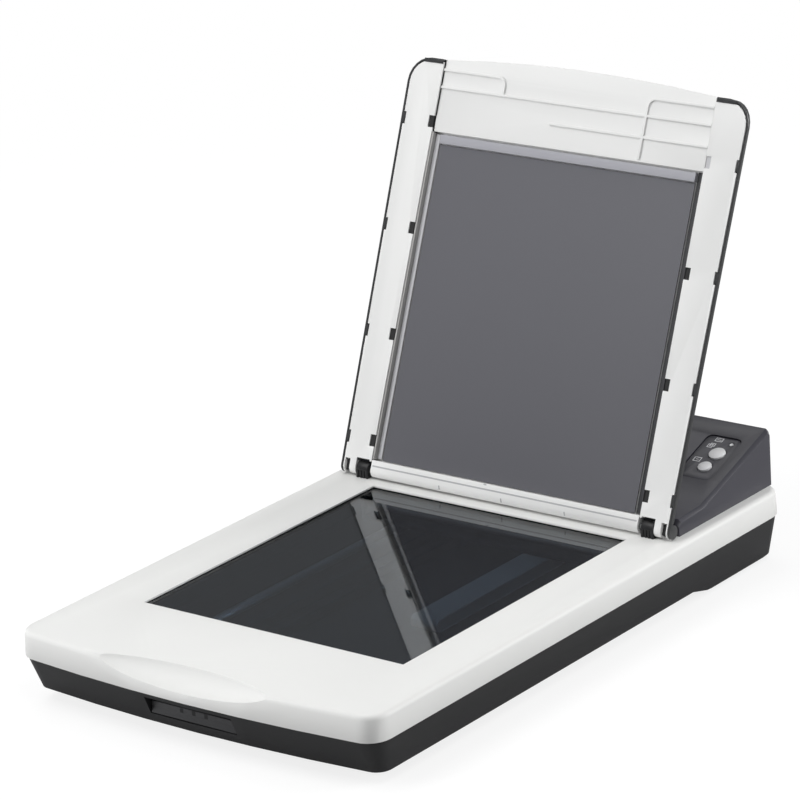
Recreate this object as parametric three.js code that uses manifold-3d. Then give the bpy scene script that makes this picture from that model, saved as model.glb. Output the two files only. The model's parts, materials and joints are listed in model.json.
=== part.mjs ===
// A compact flatbed scanner with a hinged cover, standing open.
// Millimetres, +X to the right, +Y to the rear, +Z up, origin on the table under the middle of the body.
import * as THREE from 'three';
import { mergeVertices } from 'three/addons/utils/BufferGeometryUtils.js';
import Module from 'manifold-3d';

const wasm = await Module();
wasm.setup();

// Driving dimensions
const body = { width: 150, depth: 237, cornerRadius: 8, frontBow: 3.4, sideBow: 0.2 };
const heights = { rearFoot: 0.8, rearDrop: 3.8, tray: 15.9, cover: 9, housing: 20.6 };
const fit = { seat: 0.3, skin: 0.1, run: 0.35, overrun: 1 };
const smooth = { cornerSteps: 6, bowSteps: 6, roundSides: 24, smallSides: 12, coilSteps: 8, coilSides: 5 };

const tray = { wall: 2, floor: 2, lip: 0.5, taper: 2.8, frontLean: 2.7, edgeRound: 1.3, stepFromRear: 54.6,
  stepLength: 14 };
const cover = { wall: 2.2, draft: 0.3, topRound: 1.8, ventMargin: 2.5 };
const scoop = { halfLength: 38, halfDepth: 9.6, halfHeight: 7.2, shift: -1.5, forward: 1, above: 1.4 };
const recess = { width: 36, height: 6.6, depth: 5.6, topDrop: 2, backing: 1.6, slotWidth: 1,
  slotPitch: 5.1 };
const plate = { thickness: 1, topShare: 0.62, standOff: 0.3, ribWidth: 0.8 };

const glass = { leftMargin: 22.2, rightMargin: 19.4, frontMargin: 43.6, rearMargin: 68.8, lap: 3.4,
  thickness: 2, drop: 0.9, tape: 0.3 };
const strip = { sideMargin: 4.2, length: 4, thickness: 0.4 };

const housing = { sideMargin: 5, frontGap: 58.3, rearInset: 0.3, wall: 2, deck: 5.6, rampStart: 43.6,
  crownDrop: 1.4 };
const ramp = { frontFromRear: 31.2, rearFromRear: 5.2, frontHeight: 10.4, rearHeight: 19.36 };
const sideEdge = { width: 1.3, drop: 1.1 };
const panel = { fromRight: 5.8, width: 13.8, length: 23, radius: 2, thickness: 1.8, sink: 0.35,
  flange: 1.2 };
const button = { press: 0.6, proud: 0.5, collar: 0.5, collarHeight: 0.8, stem: 1.1, boardDrop: 6,
  switchSize: 4 };
const upperButton = { across: 8.5, along: 14.2, radius: 3 };
const lowerButton = { across: 8, along: 6.6, radius: 2.5 };
const light = { across: 10.7, along: 20.2, radius: 0.7 };
const buttonBoard = { thickness: 1.2, margin: 0.6 };

const lid = {
  hingeFromRear: 62.3, hingeDepth: 2.5, closedGap: 0.4, openAngle: 112.74,
  beyondGlass: 16.1, rootMargin: 4.7, tipMargin: 3.1, cornerRadius: 9, hingeToRoot: 3.05,
  edgeThickness: 1.1, crown: 5.6, crownPower: 4, tipThickness: 3.4, wall: 0.7, rootThickness: 4.7,
  swell: 14, tipSlope: 22,
};
const rail = { width: 14.4, thickness: 0.6, wall: 1, wallDepth: 2.1, hingeGap: 3.4, slot: 2.2,
  slotHeight: 2.6 };
const clip = { first: 10.3, last: 22.3, count: 4, length: 3.8, reach: 0.8, slotLength: 4.2,
  slotWidth: 2.2 };
const inner = { back: 3, backThickness: 0.5, topRecess: 0.9, topDepth: 25.6, lipBow: 2.7,
  lipThickness: 1.4, bar: 3.3 };
const rib = { width: 0.9, height: 0.6, bend: 3 };
const ribRowShares = [0.86, 0.62, 0.33];
const ribPostShare = 0.53;
const shortRibShare = 0.15;
const pad = { sideMargin: 3.2, from: 3.8, fromTip: 29.8, face: 1.8, thickness: 0.5 };
const greyStrip = { sideMargin: 3.2, fromTip: 26.3, face: 1.1 };

const block = { fromRail: 1.1, width: 5, rearReach: 3.8, groove: 0.6, grooveDepth: 0.4, grooves: 3 };
const pin = { radius: 1.1, play: 0.3, overlap: 2.4 };

const carriage = { home: 5.4, depth: 15, endCut: 2.5, plate: 1.7, plateHeight: 5.2, cheek: 1.6 };
const shaft = { radius: 1.6, fromSide: 31, height: 3.8, boss: 3.2, fromFront: 19.4, fromRear: 49.6,
  post: 5, cap: 1.4 };
const sensor = { beyondGlass: 1.3, depth: 12, height: 6, slideHeight: 0.5, slideSize: 5, slot: 3.4,
  slotDepth: 2.2 };
const lensBar = { width: 1.4, proud: 0.2 };
const lightGuide = { width: 1.1, gap: 0.3 };
const spring = { radius: 2, wire: 0.5, turns: 2, fromEnd: 19.5 };
const slideRail = { fromEnd: 7.5, width: 4 };

const belt = { fromShaft: 20, radius: 5.75, thickness: 0.9, width: 3.5, height: 1, fromFront: 26.9 };
const clamp = { wall: 1.2, length: 8 };
const pulley = { flange: 1.6, flangeThickness: 0.4, bore: 1.5, hub: 3 };
const gears = { module: 0.6, largeTeeth: 45, smallTeeth: 18, face: 3.2, backlash: 0.16,
  pressureDegrees: 20, addendumShare: 0.95, dedendumShare: 1.25 };
const drive = { fromRear: 36.6, gearHeight: 14.9, pinionShift: -6, play: 0.25 };
const motor = { radius: 12.4, height: 9.6, ear: 17, earRadius: 3.2, earThickness: 1, shaft: 1 };
const bracket = { thickness: 1, leftMargin: 3.3, rightMargin: 0.8, fromRear: 4.6, length: 48,
  postRadius: 2.6 };
const idler = { plate: 1, leg: 1.4, halfWidth: 9.6, depth: 15.4, tab: 4 };
const tensionSpring = { radius: 1.9, wire: 0.45, turns: 4 };

const board = { fromSide: 13, width: 58, fromRear: 6.4, length: 39.7, thickness: 1.6, stand: 1.5 };
const boardPost = { radius: 2.4, inset: 3.4, stake: 0.8 };
const chip = { size: 12, thickness: 1.4 };
const socket = { width: 14, depth: 4, height: 2.4 };
const ribbon = { across: 14, width: 11, thickness: 0.3, reach: 69 };
const usb = { across: 22, width: 8, height: 4.2, depth: 9.4, wall: 0.5, tongue: 1.3 };
const jack = { across: 42, width: 9, height: 7.4, depth: 11, bore: 2.9, pin: 0.9, boreDepth: 8 };

const frontFoot = { radius: 5, fromSide: 23, fromEnd: 22 };
const rearFoot = { radius: 5, fromSide: 23, fromEnd: 12.6 };
const caseScrew = { radius: 1.2, head: 2.4, headHeight: 1.6, boss: 3.4, fromSide: 11, fromFront: 16,
  fromRear: 54.6 };
const smallScrew = { radius: 0.9, head: 1.9, headHeight: 1 };

const colours = {
  white: 0xe6e6e2, charcoal: 0x34363a, slate: 0x4b4e58, black: 0x151618, padGrey: 0x66676c,
    stripGrey: 0x9c9ca4,
  steel: 0xb4b7ba, board: 0x1f5a3a, glass: 0x20242a, button: 0xeeeeea, rubber: 0x1c1c1e, brass: 0xb59a52,
    amber: 0xd08a3c,
};

// Levels and places that follow from the driving dimensions
const halfWidth = body.width / 2;
const halfDepth = body.depth / 2;
const rearUnder = heights.rearFoot;
const frontUnder = rearUnder + heights.rearDrop;
const seamZ = rearUnder + heights.tray;
const coverTop = seamZ + heights.cover;
const frontFloor = frontUnder + tray.floor;
const rearFloor = rearUnder + tray.floor;
const hingeY = halfDepth - lid.hingeFromRear;
const hingeZ = coverTop + lid.closedGap + lid.hingeDepth;
const glassLeft = glass.leftMargin - halfWidth;
const glassRight = halfWidth - glass.rightMargin;
const glassRear = halfDepth - glass.rearMargin;
const glassFront = glass.frontMargin - halfDepth;
const glassTop = coverTop - glass.drop;
const glassUnder = glassTop - glass.thickness;
const sensorTop = glassUnder - fit.run - sensor.slideHeight;
const plateZ = frontFloor + carriage.plateHeight;
const shaftZ = frontFloor + shaft.height;
const beltZ = frontFloor + belt.height;
const gearZ = rearFloor + drive.gearHeight;
const boardZ = rearFloor + board.stand;
const boardTop = boardZ + board.thickness;
const boardRight = halfWidth - board.fromSide;
const boardLeft = boardRight - board.width;
const boardRear = halfDepth - board.fromRear;
const boardFront = boardRear - board.length;
const usbX = boardLeft + usb.across;
const jackX = boardLeft + jack.across;
const ribbonX = boardLeft + ribbon.across;
const stepFront = halfDepth - tray.stepFromRear;
const stepRear = stepFront + tray.stepLength;
const shaftX = shaft.fromSide - halfWidth;
const shaftFront = shaft.fromFront - halfDepth;
const shaftRear = halfDepth - shaft.fromRear;
const carriageHome = glassRear + carriage.home;
const sensorHalf = (glassRight - glassLeft) / 2 + sensor.beyondGlass;
const springX = sensorHalf - spring.fromEnd;
const slideRailX = sensorHalf - slideRail.fromEnd;
const beltX = shaftX + belt.fromShaft;
const idlerY = belt.fromFront - halfDepth;
const driveY = halfDepth - drive.fromRear;
const housingHalf = halfWidth - housing.sideMargin;
const panelRight = housingHalf - panel.fromRight;
const panelLeft = panelRight - panel.width;
const housingFront = halfDepth - housing.frontGap;
const housingRear = halfDepth - housing.rearInset;
const rampFront = new THREE.Vector2(halfDepth - ramp.frontFromRear, coverTop + ramp.frontHeight);
const rampRear = new THREE.Vector2(halfDepth - ramp.rearFromRear, coverTop + ramp.rearHeight);
const rampAngle = Math.atan2(rampRear.y - rampFront.y, rampRear.x - rampFront.x);
const gearReach = (gears.module * (gears.largeTeeth + gears.smallTeeth)) / 2 + drive.play / 2;
const pinionY = driveY + Math.sqrt(gearReach ** 2 - drive.pinionShift ** 2);
const pinionX = beltX + drive.pinionShift;
const bracketZ = gearZ + gears.face + fit.run + bracket.thickness;
const bracketLeft = pinionX - motor.ear - motor.earRadius - bracket.leftMargin;
const bracketRight = pinionX + motor.ear + motor.earRadius + bracket.rightMargin;
const bracketRear = halfDepth - bracket.fromRear;
const bracketFront = bracketRear - bracket.length;
const railInner = halfWidth - lid.tipMargin - rail.width;
const blockInner = railInner + block.fromRail;
const lidTip = hingeY - glassFront + lid.beyondGlass;
const padEnd = lidTip - pad.fromTip;
const greyStripEnd = lidTip - greyStrip.fromTip;
const topPanelStart = lidTip - inner.topDepth;

// Solids: three.js makes each shape, and manifold joins and cuts them
function solid(geometry) {
  const bare = geometry.clone();
  bare.deleteAttribute('normal');
  bare.deleteAttribute('uv');
  const merged = mergeVertices(bare);
  const triVerts = [];
  const index = merged.index.array;
  for (let i = 0; i < index.length; i += 3) {
    const [a, b, c] = [index[i], index[i + 1], index[i + 2]];
    if (a !== b && b !== c && c !== a) triVerts.push(a, b, c);
  }
  const vertProperties = new Float32Array(merged.attributes.position.array);
  return new wasm.Manifold(new wasm.Mesh({ numProp: 3, vertProperties,
    triVerts: new Uint32Array(triVerts) }));
}

function geometryOf(manifold) {
  const { vertProperties, triVerts } = manifold.getMesh();
  const geometry = new THREE.BufferGeometry();
  geometry.setAttribute('position', new THREE.BufferAttribute(new Float32Array(vertProperties), 3));
  geometry.setIndex(new THREE.BufferAttribute(new Uint32Array(triVerts), 1));
  return geometry;
}

const inOrder = (a, b) => [Math.min(a, b), Math.max(a, b)];
const joined = (...parts) => parts.reduce((whole, part) => whole.add(part));
const cut = (whole, ...tools) => tools.reduce((rest, tool) => rest.subtract(tool), whole);

function box(x0, x1, y0, y1, z0, z1) {
  const geometry = new THREE.BoxGeometry(x1 - x0, y1 - y0, z1 - z0);
  geometry.translate((x0 + x1) / 2, (y0 + y1) / 2, (z0 + z1) / 2);
  return solid(geometry);
}

function cylinder(radius, x, y, z0, z1, sides = smooth.roundSides) {
  const geometry = new THREE.CylinderGeometry(radius, radius, z1 - z0, sides);
  geometry.rotateX(Math.PI / 2);
  geometry.translate(x, y, (z0 + z1) / 2);
  return solid(geometry);
}

function rodAlongX(radius, x0, x1, y, z, sides = smooth.roundSides) {
  const geometry = new THREE.CylinderGeometry(radius, radius, x1 - x0, sides);
  geometry.rotateZ(Math.PI / 2);
  geometry.translate((x0 + x1) / 2, y, z);
  return solid(geometry);
}

function rodAlongY(radius, x, y0, y1, z, sides = smooth.roundSides) {
  const geometry = new THREE.CylinderGeometry(radius, radius, y1 - y0, sides);
  geometry.translate(x, (y0 + y1) / 2, z);
  return solid(geometry);
}

// A closed skin through outlines of equal point counts, each [points, height]
function loftGeometry(outlines) {
  const flat = (points) => points.map(([x, y]) => new THREE.Vector2(x, y));
  const clockwise = THREE.ShapeUtils.area(flat(outlines[0][0])) < 0;
  const levels = outlines.map(([points, height]) => [clockwise ? [...points].reverse() : points, height]);
  const count = levels[0][0].length;
  const positions = [];
  const index = [];
  for (const [points, height] of levels) {
    for (const [x, y] of points) positions.push(x, y, height);
  }
  for (let level = 0; level + 1 < levels.length; level++) {
    for (let i = 0; i < count; i++) {
      const a = level * count + i;
      const b = level * count + ((i + 1) % count);
      index.push(a, b, b + count, a, b + count, a + count);
    }
  }
  const last = (levels.length - 1) * count;
  for (const [a, b, c] of THREE.ShapeUtils.triangulateShape(flat(levels[0][0]), [])) index.push(a, c, b);
  for (const [a, b, c] of THREE.ShapeUtils.triangulateShape(flat(levels.at(-1)[0]), [])) {
    index.push(last + a, last + b, last + c);
  }
  const geometry = new THREE.BufferGeometry();
  geometry.setAttribute('position', new THREE.Float32BufferAttribute(positions, 3));
  geometry.setIndex(index);
  return geometry;
}

const loft = (levels) => solid(loftGeometry(levels));
const prism = (points, z0, z1) => loft([[points, z0], [points, z1]]);

const acrossX = new THREE.Matrix4().makeBasis(
  new THREE.Vector3(0, 1, 0), new THREE.Vector3(0, 0, 1), new THREE.Vector3(1, 0, 0));
const acrossY = new THREE.Matrix4().makeBasis(
  new THREE.Vector3(0, 0, 1), new THREE.Vector3(1, 0, 0), new THREE.Vector3(0, 1, 0));

// Outlines in Y and Z lofted along X, and outlines in Z and X lofted along Y
const loftX = (levels) => solid(loftGeometry(levels).applyMatrix4(acrossX));
const prismX = (points, x0, x1) => loftX([[points, x0], [points, x1]]);
const prismY = (points, y0, y1) => {
  const turned = points.map(([x, z]) => [z, x]);
  return solid(loftGeometry([[turned, y0], [turned, y1]]).applyMatrix4(acrossY));
};

function arc(cx, cy, radius, from, to, steps) {
  const points = [];
  for (let i = 0; i <= steps; i++) {
    const angle = from + ((to - from) * i) / steps;
    points.push([cx + radius * Math.cos(angle), cy + radius * Math.sin(angle)]);
  }
  return points;
}

function roundedRectangle(x0, x1, y0, y1, radius, steps = smooth.cornerSteps) {
  const quarter = Math.PI / 2;
  return [
    ...arc(x1 - radius, y0 + radius, radius, -quarter, 0, steps),
    ...arc(x1 - radius, y1 - radius, radius, 0, quarter, steps),
    ...arc(x0 + radius, y1 - radius, radius, quarter, Math.PI, steps),
    ...arc(x0 + radius, y0 + radius, radius, Math.PI, Math.PI + quarter, steps),
  ];
}

function bowed(points, from, to, bow, steps) {
  const normal = new THREE.Vector2(to[1] - from[1], from[0] - to[0]).normalize();
  for (let i = 1; i < steps; i++) {
    const share = i / steps;
    const out = bow * 4 * share * (1 - share);
    points.push([
      from[0] + (to[0] - from[0]) * share + normal.x * out,
      from[1] + (to[1] - from[1]) * share + normal.y * out,
    ]);
  }
}

// Plan outline of the whole body: bowed front, nearly straight sides and round corners
function bodyOutline(inset, lean = 0) {
  const radius = Math.max(body.cornerRadius - inset, fit.overrun);
  const x = halfWidth - inset - body.sideBow;
  const front = -halfDepth + inset + lean + body.frontBow;
  const rear = halfDepth - inset;
  const corners = roundedRectangle(-x, x, front, rear, radius);
  const perCorner = corners.length / 4;
  const bows = [body.sideBow, 0, body.sideBow, body.frontBow];
  const outline = [];
  for (let side = 0; side < 4; side++) {
    const corner = corners.slice(side * perCorner, (side + 1) * perCorner);
    const next = corners[((side + 1) * perCorner) % corners.length];
    outline.push(...corner);
    bowed(outline, corner.at(-1), next, bows[side], smooth.bowSteps);
  }
  return outline;
}

function meshOf(name, manifold, material) {
  const mesh = new THREE.Mesh(geometryOf(manifold), material);
  mesh.name = name;
  return mesh;
}

function material(color, roughness, metalness = 0) {
  return new THREE.MeshStandardMaterial({ color, roughness, metalness });
}

const materials = {
  white: material(colours.white, 0.55),
  charcoal: material(colours.charcoal, 0.6),
  slate: material(colours.slate, 0.5),
  black: material(colours.black, 0.5),
  padGrey: material(colours.padGrey, 0.8),
  stripGrey: material(colours.stripGrey, 0.6),
  steel: material(colours.steel, 0.3, 1),
  board: material(colours.board, 0.6),
  glass: material(colours.glass, 0.05),
  button: material(colours.button, 0.4),
  rubber: material(colours.rubber, 0.9),
  brass: material(colours.brass, 0.35, 1),
  amber: material(colours.amber, 0.5),
};

// Lower tray
const traySlope = (tray.taper - tray.lip) / (seamZ - frontUnder);
const trayInset = (z) => tray.lip + traySlope * (seamZ - z);
const trayLean = (z) => (tray.frontLean * (seamZ - z)) / (seamZ - frontUnder);
const trayFront = (z) => -halfDepth + trayInset(z) + trayLean(z);

function underProfile(rise, top) {
  const far = halfDepth + fit.overrun;
  return [
    [-far, frontUnder + rise], [-far, top], [far, top], [far, rearUnder + rise],
    [stepRear, rearUnder + rise], [stepFront, frontUnder + rise],
  ];
}

function recessBox(grow, out) {
  const top = seamZ - recess.topDrop;
  return box(-recess.width / 2 - grow, recess.width / 2 + grow, -halfDepth - out,
    trayFront(top) + recess.depth + grow, top - recess.height - grow, top + grow);
}

function shaftPost(y) {
  const half = shaft.post / 2;
  const post = box(shaftX - half, shaftX + half, y - half, y + half, rearUnder, shaftZ);
  return cut(post, rodAlongY(shaft.radius + fit.seat, shaftX, y - shaft.post, y + shaft.post, shaftZ));
}

const caseRows = [caseScrew.fromFront - halfDepth, halfDepth - caseScrew.fromRear];
const casePlaces = [-1, 1].flatMap((side) => caseRows.map((y) => [side * (halfWidth - caseScrew.fromSide),
  y]));
const bossTop = seamZ - tray.wall;
const shaftPosts = [shaftFront + shaft.post / 2, shaftRear - shaft.post / 2];
const bracketPosts = [
  [bracketLeft + bracket.postRadius, bracketFront + bracket.postRadius],
  [bracketLeft + bracket.postRadius, bracketRear - bracket.postRadius],
  [bracketRight - bracket.postRadius, bracketRear - bracket.postRadius],
];
const boardPosts = [boardLeft, boardRight].flatMap((x) => [boardFront, boardRear].map((y) => [
  x + Math.sign(boardLeft + boardRight - 2 * x) * boardPost.inset,
  y + Math.sign(boardFront + boardRear - 2 * y) * boardPost.inset,
]));
const springPostY = trayFront(frontFloor) + tray.wall + idler.tab;

function trayFurniture() {
  const pieces = [];
  for (const [x, y] of casePlaces) pieces.push(cylinder(caseScrew.boss, x, y, rearUnder, bossTop));
  for (const y of shaftPosts) pieces.push(shaftPost(y));
  for (const [x, y] of bracketPosts) {
    pieces.push(cylinder(bracket.postRadius, x, y, rearUnder, bracketZ - bracket.thickness,
      smooth.smallSides));
    pieces.push(cylinder(smallScrew.radius, x, y, frontFloor, bracketZ, smooth.smallSides));
  }
  for (const [x, y] of boardPosts) {
    pieces.push(cylinder(boardPost.radius, x, y, rearUnder, boardZ, smooth.smallSides));
    pieces.push(cylinder(smallScrew.radius, x, y, rearUnder, boardTop + boardPost.stake,
      smooth.smallSides));
  }
  pieces.push(box(slideRailX, slideRailX + slideRail.width, glassFront - carriage.depth, housingFront,
    rearUnder, plateZ - fit.run));
  pieces.push(cylinder(drive.play + pulley.bore * 2, beltX, driveY, rearUnder,
    beltZ - pulley.flangeThickness * 2,
    smooth.smallSides));
  pieces.push(box(beltX - idler.tab / 2, beltX + idler.tab / 2, springPostY - idler.leg, springPostY,
    rearUnder, beltZ + belt.width));
  return joined(...pieces);
}

function portCuts(grow) {
  const rear = [halfDepth - trayInset(rearUnder) - tray.wall - fit.overrun, halfDepth + fit.overrun];
  const usbBox = box(usbX - usb.width / 2 - grow, usbX + usb.width / 2 + grow, ...rear,
    boardTop - grow, boardTop + usb.height + grow);
  const jackBox = box(jackX - jack.width / 2 - grow, jackX + jack.width / 2 + grow, ...rear,
    boardTop - grow, boardTop + jack.height + grow);
  return joined(usbBox, jackBox);
}

function makeTray() {
  const outerLevels = [
    [bodyOutline(trayInset(rearUnder) + tray.edgeRound, trayLean(rearUnder)), rearUnder],
    [bodyOutline(trayInset(rearUnder + tray.edgeRound), trayLean(rearUnder + tray.edgeRound)),
      rearUnder + tray.edgeRound],
    [bodyOutline(tray.lip), seamZ],
  ];
  const innerLevels = [
    [bodyOutline(trayInset(rearUnder) + tray.wall, trayLean(rearUnder)), rearUnder],
    [bodyOutline(tray.lip + tray.wall), seamZ + fit.overrun],
  ];
  const far = halfDepth + fit.overrun;
  const outer = loft(outerLevels).intersect(prismX(underProfile(0, seamZ), -halfWidth, halfWidth));
  const cavity = loft(innerLevels).intersect(prismX(underProfile(tray.floor, seamZ + far), -halfWidth,
    halfWidth));
  const pocketBack = recessBox(recess.backing, 0).intersect(outer);
  const shell = joined(cut(outer, cavity), pocketBack, trayFurniture().intersect(joined(outer, risers())));
  const slots = [-1, 0, 1].map((i) => box(i * recess.slotPitch - recess.slotWidth / 2,
    i * recess.slotPitch + recess.slotWidth / 2,
    -far, trayFront(seamZ) + recess.depth + recess.backing + fit.overrun,
    seamZ - recess.topDrop - recess.height * (1 - plate.topShare),
      seamZ - recess.topDrop - recess.slotWidth));
  const holes = casePlaces.flatMap(([x, y]) => [
    cylinder(caseScrew.radius + fit.seat, x, y, 0, bossTop + fit.overrun, smooth.smallSides),
    cylinder(caseScrew.head + fit.seat, x, y, 0, screwSeat(y), smooth.smallSides),
  ]);
  const axleHole = cylinder(pulley.bore, beltX, driveY, rearFloor + fit.overrun, coverTop,
    smooth.smallSides);
  return cut(shell, recessBox(0, fit.overrun), ...slots, ...holes, portCuts(fit.seat), axleHole);
}

// Room above the seam that posts on the tray floor may use
function risers() {
  return joined(...bracketPosts.map(([x, y]) => cylinder(bracket.postRadius, x, y, frontFloor, bracketZ,
    smooth.smallSides)));
}

const underAt = (y) => (y < stepFront + tray.floor ? frontUnder : rearUnder);
const screwSeat = (y) => underAt(y) + caseScrew.headHeight + fit.seat;

// Upper cover
function scoopSolid(grow) {
  const geometry = new THREE.SphereGeometry(1, smooth.roundSides * 2, smooth.roundSides);
  geometry.scale(scoop.halfLength + grow, scoop.halfDepth + grow, scoop.halfHeight + grow);
  geometry.translate(scoop.shift, -halfDepth - scoop.forward, coverTop + scoop.above);
  return solid(geometry);
}

function roundedTopLevels(inset, draft, top, round, bottom) {
  const levels = [[bodyOutline(inset), bottom], [bodyOutline(inset + draft), top - round]];
  const steps = 3;
  for (let i = 1; i <= steps; i++) {
    const angle = (Math.PI / 2) * (i / steps);
    levels.push([bodyOutline(inset + draft + round * (1 - Math.cos(angle))),
      top - round * (1 - Math.sin(angle))]);
  }
  return levels;
}

function makeCover() {
  const outer = loft(roundedTopLevels(0, cover.draft, coverTop, cover.topRound, seamZ));
  const ceiling = coverTop - cover.wall;
  const hollow = loft([
    [bodyOutline(cover.wall), seamZ - fit.overrun], [bodyOutline(cover.wall + cover.draft), ceiling],
  ]);
  const cavity = cut(hollow, scoopSolid(cover.wall));
  const bosses = casePlaces.map(([x, y]) => cylinder(caseScrew.boss, x, y, bossTop, ceiling + fit.overrun));
  const bores = casePlaces.map(([x, y]) => cylinder(caseScrew.radius + fit.seat, x, y,
    bossTop - fit.overrun,
    ceiling - fit.overrun, smooth.smallSides));
  const window = box(glassLeft, glassRight, glassFront, glassRear, ceiling - fit.overrun,
    coverTop + fit.overrun);
  const reach = glass.lap + fit.seat;
  const glassPocket = box(glassLeft - reach, glassRight + reach, glassFront - reach, glassRear + reach,
    ceiling - fit.overrun, glassTop + glass.tape);
  const margin = housing.wall + cover.ventMargin;
  const rearOpening = box(-housingHalf + margin, housingHalf - margin, housingFront + margin,
    housingRear - margin,
    ceiling - fit.overrun, coverTop + fit.overrun);
  const shell = joined(cut(outer, cavity), ...bosses);
  return cut(shell, scoopSolid(0), window, glassPocket, rearOpening, portCuts(fit.seat), ...bores);
}

function makeGlass() {
  return box(glassLeft - glass.lap, glassRight + glass.lap, glassFront - glass.lap, glassRear + glass.lap,
    glassUnder, glassTop);
}

function makeGlassTape() {
  const out = glass.lap;
  const outer = box(glassLeft - out, glassRight + out, glassFront - out, glassRear + out, glassTop,
    glassTop + glass.tape);
  const clear = fit.seat;
  const hole = box(glassLeft - clear, glassRight + clear, glassFront - clear, glassRear + clear,
    glassTop - fit.overrun, coverTop);
  return cut(outer, hole);
}

function makeCalibrationStrip() {
  const y = glassRear + glass.lap + fit.seat * 2;
  return box(glassLeft + strip.sideMargin, glassRight - strip.sideMargin, y, y + strip.length,
    coverTop - cover.wall - strip.thickness, coverTop - cover.wall);
}

// Front recess plate
function makeFrontPlate() {
  const top = seamZ - recess.topDrop;
  const back = trayFront(top) + recess.depth - fit.seat;
  const front = trayFront(top - recess.height) + plate.standOff;
  const low = top - recess.height + fit.seat;
  const high = low + recess.height * plate.topShare;
  const half = recess.width / 2 - fit.seat;
  const wedge = prismX([[front, low], [back, low], [back, high], [back - plate.thickness, high]], -half,
    half);
  const ribs = [-1, 0, 1].map((i) => {
    const x = i * recess.slotPitch + recess.slotPitch / 2;
    return box(x - plate.ribWidth / 2, x + plate.ribWidth / 2, back - plate.thickness, back,
      high - plate.thickness,
      top - recess.slotWidth);
  });
  return joined(wedge, ...ribs);
}

// Rear housing with its control panel
function housingProfile(inset, drop, bottom) {
  const lower = drop + inset;
  const deckZ = coverTop + housing.deck;
  return [
    [housingFront + inset, bottom], [housingRear - lower, bottom],
    [housingRear - lower, coverTop + heights.housing - housing.crownDrop - lower],
    [housingRear - lower - housing.crownDrop, coverTop + heights.housing - lower],
    [rampRear.x, rampRear.y - lower], [rampFront.x, rampFront.y - lower],
    [halfDepth - housing.rampStart, deckZ - lower + housing.crownDrop / 2],
    [housingFront + inset + housing.crownDrop, deckZ - lower], [housingFront + inset,
      deckZ - lower - housing.crownDrop],
  ];
}

const rampPlace = new THREE.Matrix4().makeRotationX(rampAngle).setPosition(0, rampFront.x, rampFront.y);
const onRamp = (manifoldGeometry) => solid(manifoldGeometry.applyMatrix4(rampPlace));

function rampBoxGeometry(x0, x1, y0, y1, z0, z1) {
  const geometry = new THREE.BoxGeometry(x1 - x0, y1 - y0, z1 - z0);
  geometry.translate((x0 + x1) / 2, (y0 + y1) / 2, (z0 + z1) / 2);
  return geometry;
}

const panelOutline = (grow) => roundedRectangle(panelLeft - grow, panelRight + grow, -grow,
  panel.length + grow,
  panel.radius + Math.max(grow, 0), smooth.cornerSteps / 2);

function makeHousing() {
  const half = housingHalf;
  const levels = (inset, bottom) => [
    [housingProfile(inset, sideEdge.drop, bottom), -half + inset],
    [housingProfile(inset, 0, bottom), -half + sideEdge.width + inset],
    [housingProfile(inset, 0, bottom), half - sideEdge.width - inset],
    [housingProfile(inset, sideEdge.drop, bottom), half - inset],
  ];
  const shell = cut(loftX(levels(0, coverTop)), loftX(levels(housing.wall, coverTop - fit.overrun)));
  const opening = onRamp(loftGeometry([
    [panelOutline(fit.seat), -housing.wall * 2], [panelOutline(fit.seat), housing.wall * 2],
  ]));
  return cut(shell, opening);
}

function panelHoles(grow, from, to) {
  return [upperButton, lowerButton, light].map((hole) => cylinder(hole.radius + grow,
    panelLeft + hole.across, hole.along, from, to));
}

const flangeRight = housingHalf - sideEdge.width - housing.wall - fit.seat;

function makePanel() {
  const face = -panel.sink;
  const plug = prism(panelOutline(0), -housing.wall - fit.seat - panel.flange, face);
  const flange = prism(panelOutline(panel.flange).map(([x, y]) => [Math.min(x, flangeRight), y]),
    -housing.wall - fit.seat - panel.flange, -housing.wall - fit.seat);
  const floor = -panel.sink - panel.thickness;
  const inside = prism(panelOutline(-panel.thickness), -housing.wall - panel.thickness * 2 - fit.overrun,
    floor);
  return cut(joined(plug, flange), inside,
    ...panelHoles(fit.seat, floor - fit.overrun, face + fit.overrun));
}

function makeButton(shape) {
  const floor = -panel.sink - panel.thickness;
  const boardFace = -button.boardDrop;
  const cap = cylinder(shape.radius, panelLeft + shape.across, shape.along,
    floor - fit.seat - button.collarHeight, -panel.sink + button.proud);
  const collar = cylinder(shape.radius + button.collar, panelLeft + shape.across, shape.along,
    floor - fit.seat - button.collarHeight, floor - fit.seat);
  const stem = cylinder(button.stem, panelLeft + shape.across, shape.along,
    boardFace + button.switchSize / 2 + button.press + fit.seat,
    floor - button.collarHeight, smooth.smallSides);
  return joined(cap, collar, stem);
}

function makeButtonBoard() {
  const margin = panel.thickness + buttonBoard.margin;
  return solid(rampBoxGeometry(panelLeft + margin, panelRight - margin, margin, panel.length - margin,
    -button.boardDrop - buttonBoard.thickness, -button.boardDrop));
}

function makeSwitch({ across, along }) {
  const x = panelLeft + across;
  const half = button.switchSize / 2;
  const low = -button.boardDrop + fit.skin;
  const caseBox = box(x - half, x + half, along - half, along + half, low,
    -button.boardDrop + half - fit.seat);
  return joined(caseBox, cylinder(button.stem, x, along, low, -button.boardDrop + half, smooth.smallSides));
}

function makeLight() {
  return cylinder(light.radius, panelLeft + light.across, light.along, -button.boardDrop + fit.seat,
    -panel.sink, smooth.smallSides);
}

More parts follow.
